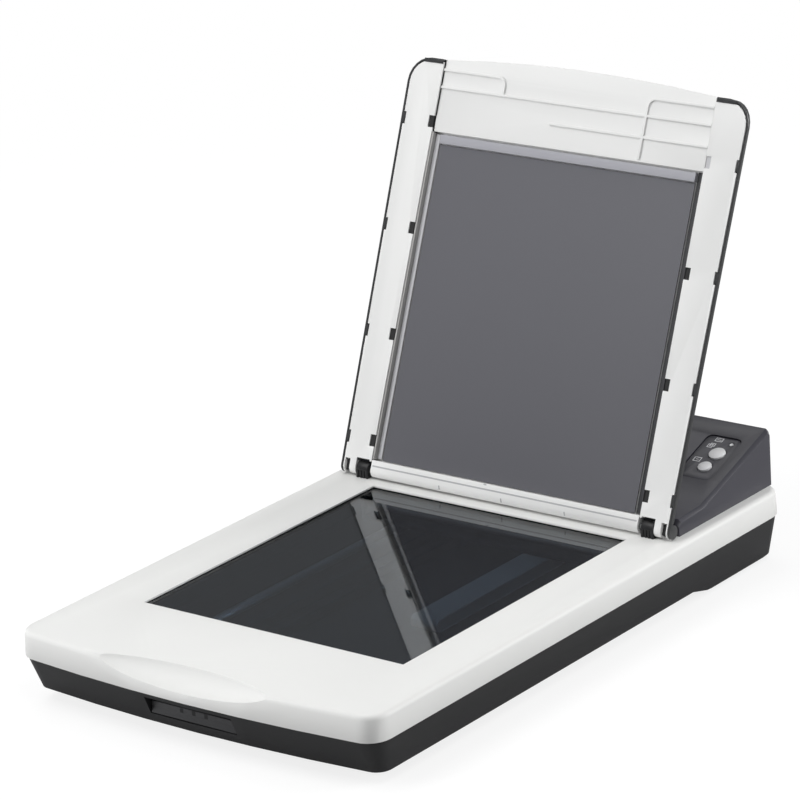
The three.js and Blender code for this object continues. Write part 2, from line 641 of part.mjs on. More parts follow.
// Hinges
function makeHingeBlock(side) {
  const x = inOrder(side * blockInner, side * (blockInner + block.width));
  const radius = lid.hingeDepth;
  const post = box(...x, hingeY - radius, hingeY + block.rearReach, coverTop, hingeZ);
  const crown = rodAlongX(radius, ...x, hingeY, hingeZ);
  const pitch = block.width / (block.grooves + 1);
  const grooves = [];
  for (let i = 1; i <= block.grooves; i++) {
    const middle = x[0] + i * pitch;
    grooves.push(box(middle - block.groove / 2, middle + block.groove / 2, hingeY - radius - fit.overrun,
      hingeY - radius + block.grooveDepth, coverTop - fit.overrun, hingeZ));
  }
  const bore = rodAlongX(pin.radius + pin.play, x[0] - fit.overrun, x[1] + fit.overrun, hingeY, hingeZ,
    smooth.smallSides);
  return cut(joined(post, crown), bore, ...grooves);
}

// The lid is drawn lying closed about its hinge line: +Y to the hinge, face down at -hingeDepth
const faceZ = -lid.hingeDepth;
const lidY = (distance) => -distance;
const lidHalf = (distance) => halfWidth - lid.rootMargin
  + ((lid.rootMargin - lid.tipMargin) * (distance + lid.hingeToRoot)) / (lidTip + lid.hingeToRoot);

function lidOutline(inset, root) {
  const radius = lid.cornerRadius - inset;
  const tip = lidTip - inset;
  const x = lidHalf(tip) - inset;
  const rootX = lidHalf(root) - inset;
  const quarter = Math.PI / 2;
  return [
    ...arc(-x + radius, lidY(tip - radius), radius, Math.PI, Math.PI + quarter, smooth.cornerSteps),
    ...arc(x - radius, lidY(tip - radius), radius, -quarter, 0, smooth.cornerSteps),
    [rootX, lidY(root)], [-rootX, lidY(root)],
  ];
}

function crownOutline(inset, bottom) {
  const half = halfWidth - lid.tipMargin + fit.skin;
  const points = [[-half, bottom], [half, bottom]];
  const steps = smooth.bowSteps * 2;
  for (let i = 0; i <= steps; i++) {
    const share = Math.cos((Math.PI * i) / steps);
    const rise = lid.crown * (1 - Math.abs(share) ** lid.crownPower);
    points.push([half * share, faceZ + lid.edgeThickness + rise - inset]);
  }
  return points;
}

function lidSideProfile(inset, bottom, root) {
  const full = faceZ + lid.edgeThickness + lid.crown - inset;
  const tipTop = faceZ + lid.tipThickness - inset;
  return [
    [lidY(root), bottom], [lidY(root), faceZ + lid.rootThickness - inset],
    [lidY(root + lid.swell), full],
    [lidY(lidTip - lid.tipSlope), full], [lidY(lidTip), tipTop], [lidY(lidTip + fit.overrun), bottom],
  ];
}

function knuckle(radius, x0, x1) {
  const ends = inOrder(x0, x1);
  return rodAlongX(radius, ...ends, 0, 0);
}

const knuckleRadius = lid.hingeDepth;
const shellRoot = knuckleRadius + fit.run;
const pillarInner = blockInner + block.width + fit.run;
const barOuter = blockInner - fit.run;

function lidBlock(inset, root, bottom) {
  const wide = halfWidth + fit.overrun;
  return prism(lidOutline(inset, root), bottom, -faceZ + lid.crown + lid.edgeThickness)
    .intersect(prismY(crownOutline(inset, bottom), lidY(lidTip + fit.overrun), lidY(root - fit.overrun)))
    .intersect(prismX(lidSideProfile(inset, bottom, root), -wide, wide));
}

const clipPitch = (lidTip - clip.last - clip.first) / (clip.count - 1);
const clipPlaces = Array.from({ length: clip.count }, (_, i) => clip.first + i * clipPitch);

function makeLidShell() {
  const outer = lidBlock(0, shellRoot, faceZ);
  const cavity = lidBlock(lid.wall, shellRoot - fit.overrun * 2, faceZ - fit.overrun);
  const lipGate = box(-railInner - fit.seat, railInner + fit.seat, lidY(lidTip + fit.overrun),
    lidY(lidTip - lid.cornerRadius), faceZ - fit.overrun,
      faceZ + inner.topRecess + inner.lipThickness + fit.seat);
  const ears = [-1, 1].map((side) => {
    const outerX = side * lidHalf(0);
    const innerX = side * (lidHalf(0) - lid.wall);
    const ends = inOrder(outerX, innerX);
    const arm = box(...ends, lidY(shellRoot + fit.overrun), 0, faceZ, faceZ + lid.edgeThickness + fit.seat);
    return joined(knuckle(knuckleRadius, ...ends), arm);
  });
  const hooks = clipPlaces.flatMap((along) => [-1, 1].map((side) => {
    const edge = side * (lidHalf(along) - lid.wall / 2);
    const tip = side * (lidHalf(along) - lid.wall - clip.reach);
    const ends = inOrder(edge, tip);
    return box(...ends, lidY(along + clip.length / 2), lidY(along - clip.length / 2), faceZ,
      faceZ + lid.wall);
  }));
  return joined(cut(outer, cavity, lipGate), ...ears, ...hooks);
}

function makeLidRail(side) {
  const edge = lid.wall + fit.seat;
  const outline = prism(lidOutline(edge, shellRoot), faceZ, faceZ + rail.thickness);
  const far = halfWidth;
  const keep = side > 0 ? [railInner, far] : [-far, -railInner];
  const strip = outline.intersect(box(...keep, lidY(lidTip), lidY(shellRoot), faceZ,
    faceZ + rail.thickness));
  const wallEnds = inOrder(side * railInner, side * (railInner + rail.wall));
  const wall = box(...wallEnds, lidY(lidTip - inner.topDepth), lidY(shellRoot), faceZ,
    faceZ + rail.wallDepth);
  const outerX = lidHalf(0) - edge;
  const ends = inOrder(side * pillarInner, side * outerX);
  const pillar = joined(knuckle(knuckleRadius, ...ends),
    box(...ends, lidY(shellRoot + knuckleRadius), 0, faceZ, faceZ + rail.thickness));
  const bore = knuckle(pin.radius + pin.play, side * (pillarInner - fit.overrun),
    side * (pillarInner + pin.overlap));
  const slots = clipPlaces.map((along) => {
    const near = side * (railInner - fit.overrun);
    const deep = side * (railInner + clip.slotWidth);
    const span = inOrder(near, deep);
    return box(...span, lidY(along + clip.slotLength / 2), lidY(along - clip.slotLength / 2),
      faceZ - fit.overrun, faceZ + rail.wallDepth - rail.thickness);
  });
  const hingeGap = box(...inOrder(side * barOuter, side * pillarInner), lidY(rail.hingeGap), lidY(0),
    faceZ - fit.overrun, faceZ + rail.wallDepth + fit.overrun);
  const slotStart = pillarInner + pin.overlap + fit.seat;
  const pillarSlot = box(...inOrder(side * slotStart, side * (slotStart + rail.slot)),
    lidY(rail.slotHeight),
    lidY(-lid.hingeDepth - fit.overrun), faceZ - fit.overrun, faceZ + lid.hingeDepth + rail.thickness);
  const notches = clipPlaces.map((along) => {
    const outerEdge = side * (far + fit.overrun);
    const innerEdge = side * (lidHalf(along) - lid.wall - clip.reach - fit.seat);
    const span = inOrder(outerEdge, innerEdge);
    const half = clip.length / 2 + fit.seat;
    return box(...span, lidY(along + half), lidY(along - half), faceZ - fit.overrun,
      faceZ + lid.wall + fit.seat);
  });
  return cut(joined(strip, wall, pillar), bore, hingeGap, pillarSlot, ...slots, ...notches);
}

const innerHalf = railInner - fit.seat;
const backZ = faceZ + inner.back;
const padHalf = innerHalf - pad.sideMargin;
const greyStripHalf = innerHalf - greyStrip.sideMargin;

function ribAlong(x0, x1, distance) {
  return box(x0, x1, lidY(distance + rib.width / 2), lidY(distance - rib.width / 2),
    faceZ + inner.topRecess - rib.height, faceZ + inner.topRecess + fit.overrun);
}

// A rib that runs in from one side and bends down to end at a given distance
function bentRib(side, postX, distance, end) {
  const half = rib.width / 2;
  const top = faceZ + inner.topRecess;
  const centre = [postX + rib.bend, lidY(distance - rib.bend)];
  const turn = (radius) => arc(...centre, radius, Math.PI, Math.PI * 1.5, smooth.cornerSteps);
  const outline = [
    ...turn(rib.bend + half), [innerHalf, lidY(distance + half)], [innerHalf, lidY(distance - half)],
    ...turn(rib.bend - half).reverse(), [postX + half, lidY(end)], [postX - half, lidY(end)],
  ];
  return prism(outline.map(([x, y]) => [side * x, y]), top - rib.height, top + fit.overrun);
}

function topRibs() {
  const between = lidTip - topPanelStart;
  const rows = ribRowShares.map((share) => topPanelStart + between * share);
  const postX = innerHalf * ribPostShare;
  return [
    bentRib(-1, postX, rows[0], rows[1]), bentRib(1, postX, rows[0], topPanelStart + rib.width),
    ribAlong(-innerHalf, innerHalf, rows[1]), ribAlong(-innerHalf * shortRibShare, innerHalf, rows[2]),
  ];
}

function makeInnerPanel() {
  const back = box(-innerHalf, innerHalf, lidY(topPanelStart), lidY(shellRoot), backZ,
    backZ + inner.backThickness);
  const topZ = faceZ + inner.topRecess;
  const lip = [[-innerHalf, lidY(topPanelStart)], [-innerHalf, lidY(lidTip)]];
  bowed(lip, [-innerHalf, lidY(lidTip)], [innerHalf, lidY(lidTip)], inner.lipBow, smooth.bowSteps);
  lip.push([innerHalf, lidY(lidTip)], [innerHalf, lidY(topPanelStart)]);
  const top = prism(lip, topZ, topZ + inner.lipThickness);
  const step = box(-innerHalf, innerHalf, lidY(topPanelStart + inner.backThickness), lidY(topPanelStart),
    topZ,
    backZ + inner.backThickness);
  const bar = box(-innerHalf, innerHalf, lidY(inner.bar), lidY(knuckleRadius), faceZ,
    backZ + inner.backThickness);
  const barFace = box(-innerHalf, innerHalf, lidY(knuckleRadius + fit.overrun), lidY(0), faceZ,
    faceZ + inner.lipThickness);
  const curl = knuckle(knuckleRadius, -innerHalf, innerHalf);
  const bores = [-1, 1].map((side) => knuckle(pin.radius + pin.play, side * (innerHalf + fit.overrun),
    side * (barOuter - pin.overlap)));
  return cut(joined(back, top, step, bar, barFace, curl, ...topRibs()), ...bores);
}

function lidSlab(half, from, to, depth, thickness) {
  return box(-half, half, lidY(to), lidY(from), faceZ + depth, faceZ + depth + thickness);
}

const makePad = () => lidSlab(padHalf, pad.from, padEnd, pad.face, pad.thickness);

function makePadFoam() {
  const depth = pad.face + pad.thickness + fit.skin;
  const thickness = inner.back - fit.skin - depth;
  return lidSlab(padHalf - fit.overrun, pad.from + fit.overrun, padEnd - fit.overrun, depth, thickness);
}

function makeGreyStrip() {
  return lidSlab(greyStripHalf, padEnd + fit.seat, greyStripEnd, greyStrip.face,
    inner.back - fit.skin - greyStrip.face);
}

function makeHingePin(side) {
  const outer = side * (pillarInner + pin.overlap - fit.seat);
  const near = side * (barOuter - pin.overlap + fit.seat);
  return knuckle(pin.radius, near, outer);
}

// Scan carriage, drawn about its own middle line
const carriageFloor = plateZ;
const carriageTop = plateZ + carriage.plate;
const carriageCut = sensorHalf - carriage.endCut;

function makeCarriage() {
  const half = carriage.depth / 2;
  const reach = sensorHalf + fit.seat;
  const plateBox = box(-carriageCut, reach, -half, half, carriageFloor, carriageTop);
  const left = box(-reach - carriage.cheek, -carriageCut, -half, half, carriageFloor, carriageTop);
  const cheeks = [-1, 1].map((side) => {
    const ends = inOrder(side * reach, side * (reach + carriage.cheek));
    return box(...ends, -half, half, carriageFloor, sensorTop - sensor.slideHeight);
  });
  const boss = rodAlongY(shaft.boss, shaftX, -half, half, shaftZ);
  const clampX = beltX + belt.radius;
  const clampHalf = belt.thickness / 2 + fit.seat + clamp.wall;
  const clampBox = box(clampX - clampHalf, clampX + clampHalf, -clamp.length / 2, clamp.length / 2,
    beltZ - fit.seat, carriageFloor + fit.overrun);
  const slot = box(clampX - belt.thickness / 2 - fit.seat, clampX + belt.thickness / 2 + fit.seat, -half,
    half,
    beltZ - fit.overrun, beltZ + belt.width + fit.seat);
  const bore = rodAlongY(shaft.radius + fit.run, shaftX, -half - fit.overrun, half + fit.overrun, shaftZ,
    smooth.smallSides);
  return cut(joined(plateBox, left, ...cheeks, boss, clampBox), slot, bore);
}

const sensorFloor = sensorTop - sensor.height;

function makeSensor() {
  const half = sensor.depth / 2;
  const bar = box(-sensorHalf, sensorHalf, -half, half, sensorFloor, sensorTop);
  const groove = box(-sensorHalf + sensor.slideSize, sensorHalf - sensor.slideSize, -sensor.slot / 2,
    sensor.slot / 2,
    sensorTop - sensor.slotDepth, sensorTop + fit.overrun);
  const slides = [-1, 1].map((side) => {
    const ends = inOrder(side * sensorHalf, side * (sensorHalf - sensor.slideSize + fit.seat));
    return box(...ends, -sensor.slideSize / 2, sensor.slideSize / 2, sensorTop,
      sensorTop + sensor.slideHeight);
  });
  return joined(cut(bar, groove), ...slides);
}

const grooveHalf = sensorHalf - sensor.slideSize - fit.seat;

function makeLensBar() {
  const y = -sensor.slot / 2 + fit.seat;
  return box(-grooveHalf, grooveHalf, y, y + lensBar.width, sensorTop - sensor.slotDepth,
    sensorTop - lensBar.proud);
}

function makeLightGuide() {
  const y = -sensor.slot / 2 + fit.seat + lensBar.width + lightGuide.gap;
  return box(-grooveHalf, grooveHalf, y, y + lightGuide.width, sensorTop - sensor.slotDepth,
    sensorTop - lensBar.proud - lightGuide.gap);
}

// A coil spring as one unbroken tube, round the Z axis between two heights
function coilGeometry(radius, wire, turns, z0, z1) {
  const steps = turns * smooth.coilSteps;
  const low = z0 + wire;
  const high = z1 - wire;
  const positions = [];
  const index = [];
  for (let i = 0; i <= steps; i++) {
    const angle = (2 * Math.PI * i) / smooth.coilSteps;
    const height = low + ((high - low) * i) / steps;
    for (let j = 0; j < smooth.coilSides; j++) {
      const round = (2 * Math.PI * j) / smooth.coilSides;
      const out = radius + (wire / 2) * Math.cos(round);
      positions.push(out * Math.cos(angle), out * Math.sin(angle), height + (wire / 2) * Math.sin(round));
    }
  }
  for (let i = 0; i < steps; i++) {
    for (let j = 0; j < smooth.coilSides; j++) {
      const a = i * smooth.coilSides + j;
      const b = i * smooth.coilSides + ((j + 1) % smooth.coilSides);
      index.push(a, a + smooth.coilSides, b, b, a + smooth.coilSides, b + smooth.coilSides);
    }
  }
  const last = steps * smooth.coilSides;
  for (let j = 1; j + 1 < smooth.coilSides; j++) index.push(0, j, j + 1, last, last + j + 1, last + j);
  const geometry = new THREE.BufferGeometry();
  geometry.setAttribute('position', new THREE.Float32BufferAttribute(positions, 3));
  geometry.setIndex(index);
  return geometry;
}

function makeSensorSpring(side) {
  const geometry = coilGeometry(spring.radius, spring.wire, spring.turns, carriageTop, sensorFloor);
  geometry.translate(side * springX, 0, 0);
  return solid(geometry);
}

function makeShaftCap(y) {
  const half = shaft.post / 2;
  const top = shaftZ + shaft.radius + shaft.cap + fit.seat;
  const cap = box(shaftX - half, shaftX + half, y - half, y + half, shaftZ, top);
  return cut(cap, rodAlongY(shaft.radius + fit.seat, shaftX, y - shaft.post, y + shaft.post, shaftZ));
}

// Drive: belt, pulleys, gears and motor
function gearOutline(teeth, shrink) {
  const pitch = (gears.module * teeth) / 2;
  const pressure = THREE.MathUtils.degToRad(gears.pressureDegrees);
  const base = pitch * Math.cos(pressure);
  const root = pitch - gears.dedendumShare * gears.module;
  const tip = pitch + gears.addendumShare * gears.module;
  const involute = (angle) => Math.tan(angle) - angle;
  const halfAt = (radius) => Math.PI / (2 * teeth) - shrink / (2 * pitch) + involute(pressure)
    - involute(Math.acos(Math.min(base / Math.max(radius, base), 1)));
  const radii = [root, pitch, tip];
  const points = [];
  for (let tooth = 0; tooth < teeth; tooth++) {
    const middle = (2 * Math.PI * tooth) / teeth;
    for (const radius of radii) points.push([radius, middle - halfAt(radius)]);
    for (const radius of [...radii].reverse()) points.push([radius, middle + halfAt(radius)]);
  }
  return points.map(([radius, angle]) => [radius * Math.cos(angle), radius * Math.sin(angle)]);
}

function turned(points, angle, x, y) {
  const [c, s] = [Math.cos(angle), Math.sin(angle)];
  return points.map(([px, py]) => [x + px * c - py * s, y + px * s + py * c]);
}

const meshAngle = Math.atan2(pinionY - driveY, pinionX - beltX);
const axleBore = pulley.bore + fit.seat;

function makeDriveGear() {
  const outline = turned(gearOutline(gears.largeTeeth, gears.backlash), meshAngle, beltX, driveY);
  const wheel = prism(outline, gearZ, gearZ + gears.face);
  const hub = cylinder(pulley.hub, beltX, driveY, beltZ + belt.width, gearZ + fit.overrun);
  const bore = cylinder(axleBore, beltX, driveY, 0, gearZ + gears.face + fit.overrun, smooth.smallSides);
  return cut(joined(wheel, hub, pulleyAt(driveY)), bore);
}

function pulleyAt(y) {
  const core = belt.radius - belt.thickness / 2 - fit.seat;
  const outer = belt.radius + pulley.flange;
  const low = beltZ - fit.seat;
  const high = beltZ + belt.width + fit.seat;
  const wheel = joined(cylinder(core, beltX, y, low, high),
    cylinder(outer, beltX, y, low - pulley.flangeThickness, low), cylinder(outer, beltX, y, high,
      high + pulley.flangeThickness));
  return cut(wheel, cylinder(axleBore, beltX, y, 0, coverTop, smooth.smallSides));
}

function makePinion() {
  const phase = meshAngle + Math.PI + Math.PI / gears.smallTeeth;
  const outline = turned(gearOutline(gears.smallTeeth, gears.backlash), phase, pinionX, pinionY);
  const wheel = prism(outline, gearZ, gearZ + gears.face);
  return joined(wheel, cylinder(motor.shaft, pinionX, pinionY, gearZ, bracketZ + motor.earThickness,
    smooth.smallSides));
}

function makeMotor() {
  const low = bracketZ;
  const can = cylinder(motor.radius, pinionX, pinionY, low, low + motor.height);
  const ears = [-1, 1].map((side) => joined(
    cylinder(motor.earRadius, pinionX + side * motor.ear, pinionY, low, low + motor.earThickness,
      smooth.smallSides),
    box(...inOrder(pinionX, pinionX + side * motor.ear), pinionY - motor.earRadius,
      pinionY + motor.earRadius,
      low, low + motor.earThickness)));
  const holes = [-1, 1].map((side) => cylinder(smallScrew.radius + fit.seat, pinionX + side * motor.ear,
    pinionY,
    low - fit.overrun, low + motor.earThickness + fit.overrun, smooth.smallSides));
  const shaftWell = cylinder(motor.shaft + fit.run, pinionX, pinionY, low - fit.overrun,
    low + motor.earThickness + fit.run + fit.overrun, smooth.smallSides);
  return cut(joined(can, ...ears), ...holes, shaftWell);
}

function makeBracket() {
  const plateBox = box(bracketLeft, bracketRight, bracketFront, bracketRear, bracketZ - bracket.thickness,
    bracketZ);
  const tall = (radius, x, y) => cylinder(radius, x, y, bracketZ - bracket.thickness - fit.overrun,
    bracketZ + fit.overrun,
    smooth.smallSides);
  const screwHoles = [-1, 1].map((side) => tall(smallScrew.radius + fit.seat, pinionX + side * motor.ear,
    pinionY));
  const postHoles = bracketPosts.map(([x, y]) => tall(smallScrew.radius + fit.seat, x, y));
  return cut(plateBox, tall(motor.shaft * 2 + fit.run, pinionX, pinionY), tall(pulley.bore, beltX, driveY),
    ...screwHoles, ...postHoles);
}

function makeGearAxle() {
  return cylinder(pulley.bore - fit.skin, beltX, driveY, rearFloor + fit.overrun + fit.seat, bracketZ,
    smooth.smallSides);
}

function makeBelt() {
  const loop = (radius) => {
    const right = arc(beltX, driveY, radius, 0, Math.PI, smooth.roundSides / 2);
    const left = arc(beltX, idlerY, radius, Math.PI, 2 * Math.PI, smooth.roundSides / 2);
    return [...right, ...left];
  };
  const outer = prism(loop(belt.radius + belt.thickness / 2), beltZ, beltZ + belt.width);
  const middle = prism(loop(belt.radius - belt.thickness / 2), beltZ - fit.overrun,
    beltZ + belt.width + fit.overrun);
  return cut(outer, middle);
}

const idlerTop = beltZ + belt.width + fit.seat + pulley.flangeThickness + fit.run;

function makeIdlerBracket() {
  const [x, y] = [beltX, idlerY];
  const half = idler.depth / 2;
  const plateBox = box(x - idler.halfWidth, x + idler.halfWidth, y - half, y + half, idlerTop,
    idlerTop + idler.plate);
  const legs = [-1, 1].map((side) => {
    const ends = inOrder(x + side * idler.halfWidth, x + side * (idler.halfWidth - idler.leg));
    return box(...ends, y - half, y + half, frontFloor + fit.seat, idlerTop);
  });
  const tab = box(x - idler.tab / 2, x + idler.tab / 2, y - half - idler.plate, y - half, beltZ,
    idlerTop + idler.plate);
  const bore = cylinder(pulley.bore, x, y, idlerTop - fit.overrun, idlerTop + idler.plate + fit.overrun,
    smooth.smallSides);
  return cut(joined(plateBox, ...legs, tab), bore);
}

function makeIdlerAxle() {
  return cylinder(pulley.bore - fit.skin, beltX, idlerY, frontFloor + fit.seat, idlerTop + idler.plate,
    smooth.smallSides);
}

function makeTensionSpring() {
  const front = springPostY + fit.seat;
  const rear = idlerY - idler.depth / 2 - idler.plate - fit.seat;
  const geometry = coilGeometry(tensionSpring.radius, tensionSpring.wire, tensionSpring.turns, front, rear);
  geometry.rotateX(-Math.PI / 2);
  geometry.translate(beltX, 0, beltZ + belt.width / 2);
  return solid(geometry);
}

// Electronics
function makeBoard() {
  const sheet = box(boardLeft, boardRight, boardFront, boardRear, boardZ, boardTop);
  return cut(sheet, ...boardPosts.map(([x, y]) => cylinder(smallScrew.radius + fit.seat, x, y,
    boardZ - fit.overrun,
    boardTop + fit.overrun, smooth.smallSides)));
}

function portEnd() {
  return halfDepth - trayInset(boardTop + usb.height) - fit.seat;
}

function makeUsbPort() {
  const rear = portEnd();
  const outer = box(usbX - usb.width / 2, usbX + usb.width / 2, rear - usb.depth, rear, boardTop,
    boardTop + usb.height);
  const insideBox = box(usbX - usb.width / 2 + usb.wall, usbX + usb.width / 2 - usb.wall,
    rear - usb.depth + usb.wall,
    rear + fit.overrun, boardTop + usb.wall, boardTop + usb.height - usb.wall);
  const middle = boardTop + usb.height / 2;
  const tongue = box(usbX - usb.width / 4, usbX + usb.width / 4, rear - usb.depth, rear - usb.wall * 2,
    middle - usb.tongue / 2, middle + usb.tongue / 2);
  return joined(cut(outer, insideBox), tongue);
}

function makePowerJack() {
  const rear = portEnd();
  const z = boardTop + jack.height / 2;
  const caseBox = box(jackX - jack.width / 2, jackX + jack.width / 2, rear - jack.depth, rear, boardTop,
    boardTop + jack.height);
  const bore = rodAlongY(jack.bore, jackX, rear - jack.boreDepth, rear + fit.overrun, z);
  const centre = rodAlongY(jack.pin, jackX, rear - jack.boreDepth - fit.overrun, rear - fit.overrun, z,
    smooth.smallSides);
  return joined(cut(caseBox, bore), centre);
}

function makeChip() {
  const x = (boardLeft + boardRight) / 2;
  const y = (boardFront + boardRear) / 2;
  return box(x - chip.size / 2, x + chip.size / 2, y - chip.size / 2, y + chip.size / 2, boardTop,
    boardTop + chip.thickness);
}

function makeRibbonSocket() {
  return box(ribbonX - socket.width / 2, ribbonX + socket.width / 2, boardFront + fit.seat,
    boardFront + fit.seat + socket.depth,
    boardTop, boardTop + socket.height);
}

function makeRibbon() {
  const t = ribbon.thickness;
  const low = frontFloor + fit.seat;
  const high = plateZ - fit.seat;
  const turn = (high - low) / 2;
  const frontY = carriageHome - ribbon.reach;
  const start = boardFront;
  const socketZ = boardTop + socket.height / 2;
  const end = carriageHome;
  const turnOuter = arc(frontY, low + turn, turn, -Math.PI / 2, -Math.PI * 1.5, smooth.cornerSteps);
  const turnInner = arc(frontY, low + turn, turn - t, -Math.PI * 1.5, -Math.PI / 2, smooth.cornerSteps);
  const lowerOuter = [[start, socketZ], [start - socket.depth, socketZ],
    [stepFront - socket.depth * 2, low]];
  const lowerInner = [[stepFront - socket.depth * 2, low + t], [start - socket.depth, socketZ + t],
    [start, socketZ + t]];
  const outline = [...lowerOuter, ...turnOuter, [end, high], [end, high - t], ...turnInner, ...lowerInner];
  return prismX(outline, ribbonX - ribbon.width / 2, ribbonX + ribbon.width / 2);
}

// Feet and screws
const makeFrontFoot = (side) => cylinder(frontFoot.radius, side * (halfWidth - frontFoot.fromSide),
  frontFoot.fromEnd - halfDepth, 0, frontUnder);
const makeRearFoot = (side) => cylinder(rearFoot.radius, side * (halfWidth - rearFoot.fromSide),
  halfDepth - rearFoot.fromEnd, 0, rearUnder);

function screwUp(x, y, headZ, tip, shape) {
  return joined(cylinder(shape.head, x, y, headZ - shape.headHeight, headZ, smooth.smallSides),
    cylinder(shape.radius, x, y, headZ - fit.overrun / 2, tip, smooth.smallSides));
}

function makeCaseScrew([x, y]) {
  return screwUp(x, y, screwSeat(y) - fit.skin, coverTop - cover.wall - fit.overrun * 2, caseScrew);
}

function screwDown(x, y, seat, tip, shape) {
  return joined(cylinder(shape.head, x, y, seat + fit.skin, seat + shape.headHeight, smooth.smallSides),
    cylinder(shape.radius, x, y, tip, seat + shape.headHeight / 2, smooth.smallSides));
}

function makeMotorScrew(side) {
  return screwDown(pinionX + side * motor.ear, pinionY, bracketZ + motor.earThickness,
    bracketZ - bracket.thickness - fit.overrun, smallScrew);
}

// Assembly
const scanner = new THREE.Group();

function place(parent, name, manifold, finish) {
  parent.add(meshOf(name, manifold, finish));
}

place(scanner, 'base_tray', makeTray(), materials.charcoal);
place(scanner, 'top_cover', makeCover(), materials.white);
place(scanner, 'front_plate', makeFrontPlate(), materials.charcoal);
place(scanner, 'scan_glass', makeGlass(), materials.glass);
place(scanner, 'glass_tape', makeGlassTape(), materials.black);
place(scanner, 'calibration_strip', makeCalibrationStrip(), materials.white);
place(scanner, 'rear_housing', makeHousing(), materials.slate);

const controls = new THREE.Group();
controls.position.set(0, rampFront.x, rampFront.y);
controls.rotation.x = rampAngle;
place(controls, 'control_panel', makePanel(), materials.slate);
place(controls, 'upper_button', makeButton(upperButton), materials.button);
place(controls, 'lower_button', makeButton(lowerButton), materials.button);
place(controls, 'status_light', makeLight(), materials.button);
place(controls, 'button_board', makeButtonBoard(), materials.board);
place(controls, 'upper_switch', makeSwitch(upperButton), materials.black);
place(controls, 'lower_switch', makeSwitch(lowerButton), materials.black);
scanner.add(controls);

place(scanner, 'hinge_block_left', makeHingeBlock(-1), materials.black);
place(scanner, 'hinge_block_right', makeHingeBlock(1), materials.black);

const openLid = new THREE.Group();
openLid.position.set(0, hingeY, hingeZ);
openLid.rotation.x = -THREE.MathUtils.degToRad(lid.openAngle);
place(openLid, 'lid_shell', makeLidShell(), materials.charcoal);
place(openLid, 'lid_rail_left', makeLidRail(-1), materials.white);
place(openLid, 'lid_rail_right', makeLidRail(1), materials.white);
place(openLid, 'lid_inner_panel', makeInnerPanel(), materials.white);
place(openLid, 'backing_pad', makePad(), materials.padGrey);
place(openLid, 'pad_foam', makePadFoam(), materials.black);
place(openLid, 'grey_strip', makeGreyStrip(), materials.stripGrey);
place(openLid, 'hinge_pin_left', makeHingePin(-1), materials.steel);
place(openLid, 'hinge_pin_right', makeHingePin(1), materials.steel);
scanner.add(openLid);

const carriageGroup = new THREE.Group();
carriageGroup.position.y = carriageHome;
place(carriageGroup, 'scan_carriage', makeCarriage(), materials.black);
place(carriageGroup, 'image_sensor', makeSensor(), materials.black);
place(carriageGroup, 'lens_bar', makeLensBar(), materials.glass);
place(carriageGroup, 'light_guide', makeLightGuide(), materials.button);
place(carriageGroup, 'sensor_spring_left', makeSensorSpring(-1), materials.steel);
place(carriageGroup, 'sensor_spring_right', makeSensorSpring(1), materials.steel);
scanner.add(carriageGroup);

place(scanner, 'guide_shaft', rodAlongY(shaft.radius, shaftX, shaftFront, shaftRear, shaftZ),
  materials.steel);
place(scanner, 'shaft_cap_front', makeShaftCap(shaftPosts[0]), materials.black);
place(scanner, 'shaft_cap_rear', makeShaftCap(shaftPosts[1]), materials.black);
place(scanner, 'drive_gear', makeDriveGear(), materials.button);
place(scanner, 'idler_pulley', pulleyAt(idlerY), materials.button);
place(scanner, 'motor_pinion', makePinion(), materials.brass);
place(scanner, 'stepper_motor', makeMotor(), materials.steel);
place(scanner, 'motor_bracket', makeBracket(), materials.steel);
place(scanner, 'motor_screw_left', makeMotorScrew(-1), materials.steel);
place(scanner, 'motor_screw_right', makeMotorScrew(1), materials.steel);
place(scanner, 'gear_axle', makeGearAxle(), materials.steel);
place(scanner, 'drive_belt', makeBelt(), materials.rubber);
place(scanner, 'idler_bracket', makeIdlerBracket(), materials.black);
place(scanner, 'idler_axle', makeIdlerAxle(), materials.steel);
place(scanner, 'tension_spring', makeTensionSpring(), materials.steel);
place(scanner, 'main_board', makeBoard(), materials.board);
place(scanner, 'controller_chip', makeChip(), materials.black);
place(scanner, 'ribbon_socket', makeRibbonSocket(), materials.button);
place(scanner, 'sensor_ribbon', makeRibbon(), materials.amber);
place(scanner, 'usb_port', makeUsbPort(), materials.steel);
place(scanner, 'power_jack', makePowerJack(), materials.black);
place(scanner, 'front_foot_left', makeFrontFoot(-1), materials.rubber);
place(scanner, 'front_foot_right', makeFrontFoot(1), materials.rubber);
place(scanner, 'rear_foot_left', makeRearFoot(-1), materials.rubber);
place(scanner, 'rear_foot_right', makeRearFoot(1), materials.rubber);
casePlaces.forEach((spot, i) => {
  place(scanner, `case_screw_${i + 1}`, makeCaseScrew(spot), materials.steel);
});

export default scanner;
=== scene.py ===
# Flatbed scanner with its cover standing open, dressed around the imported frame. Metres, +Z up.
# The pieces' sizes are in millimetres, each dictionary beside the code that reads it.
import json
import math

import bpy
from mathutils import Matrix, Vector


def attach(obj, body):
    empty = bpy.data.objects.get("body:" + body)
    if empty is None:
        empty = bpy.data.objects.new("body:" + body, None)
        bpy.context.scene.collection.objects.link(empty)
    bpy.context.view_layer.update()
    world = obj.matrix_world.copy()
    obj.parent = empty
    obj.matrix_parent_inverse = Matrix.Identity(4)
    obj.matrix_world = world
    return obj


mm = 0.001
perMetre = 1000

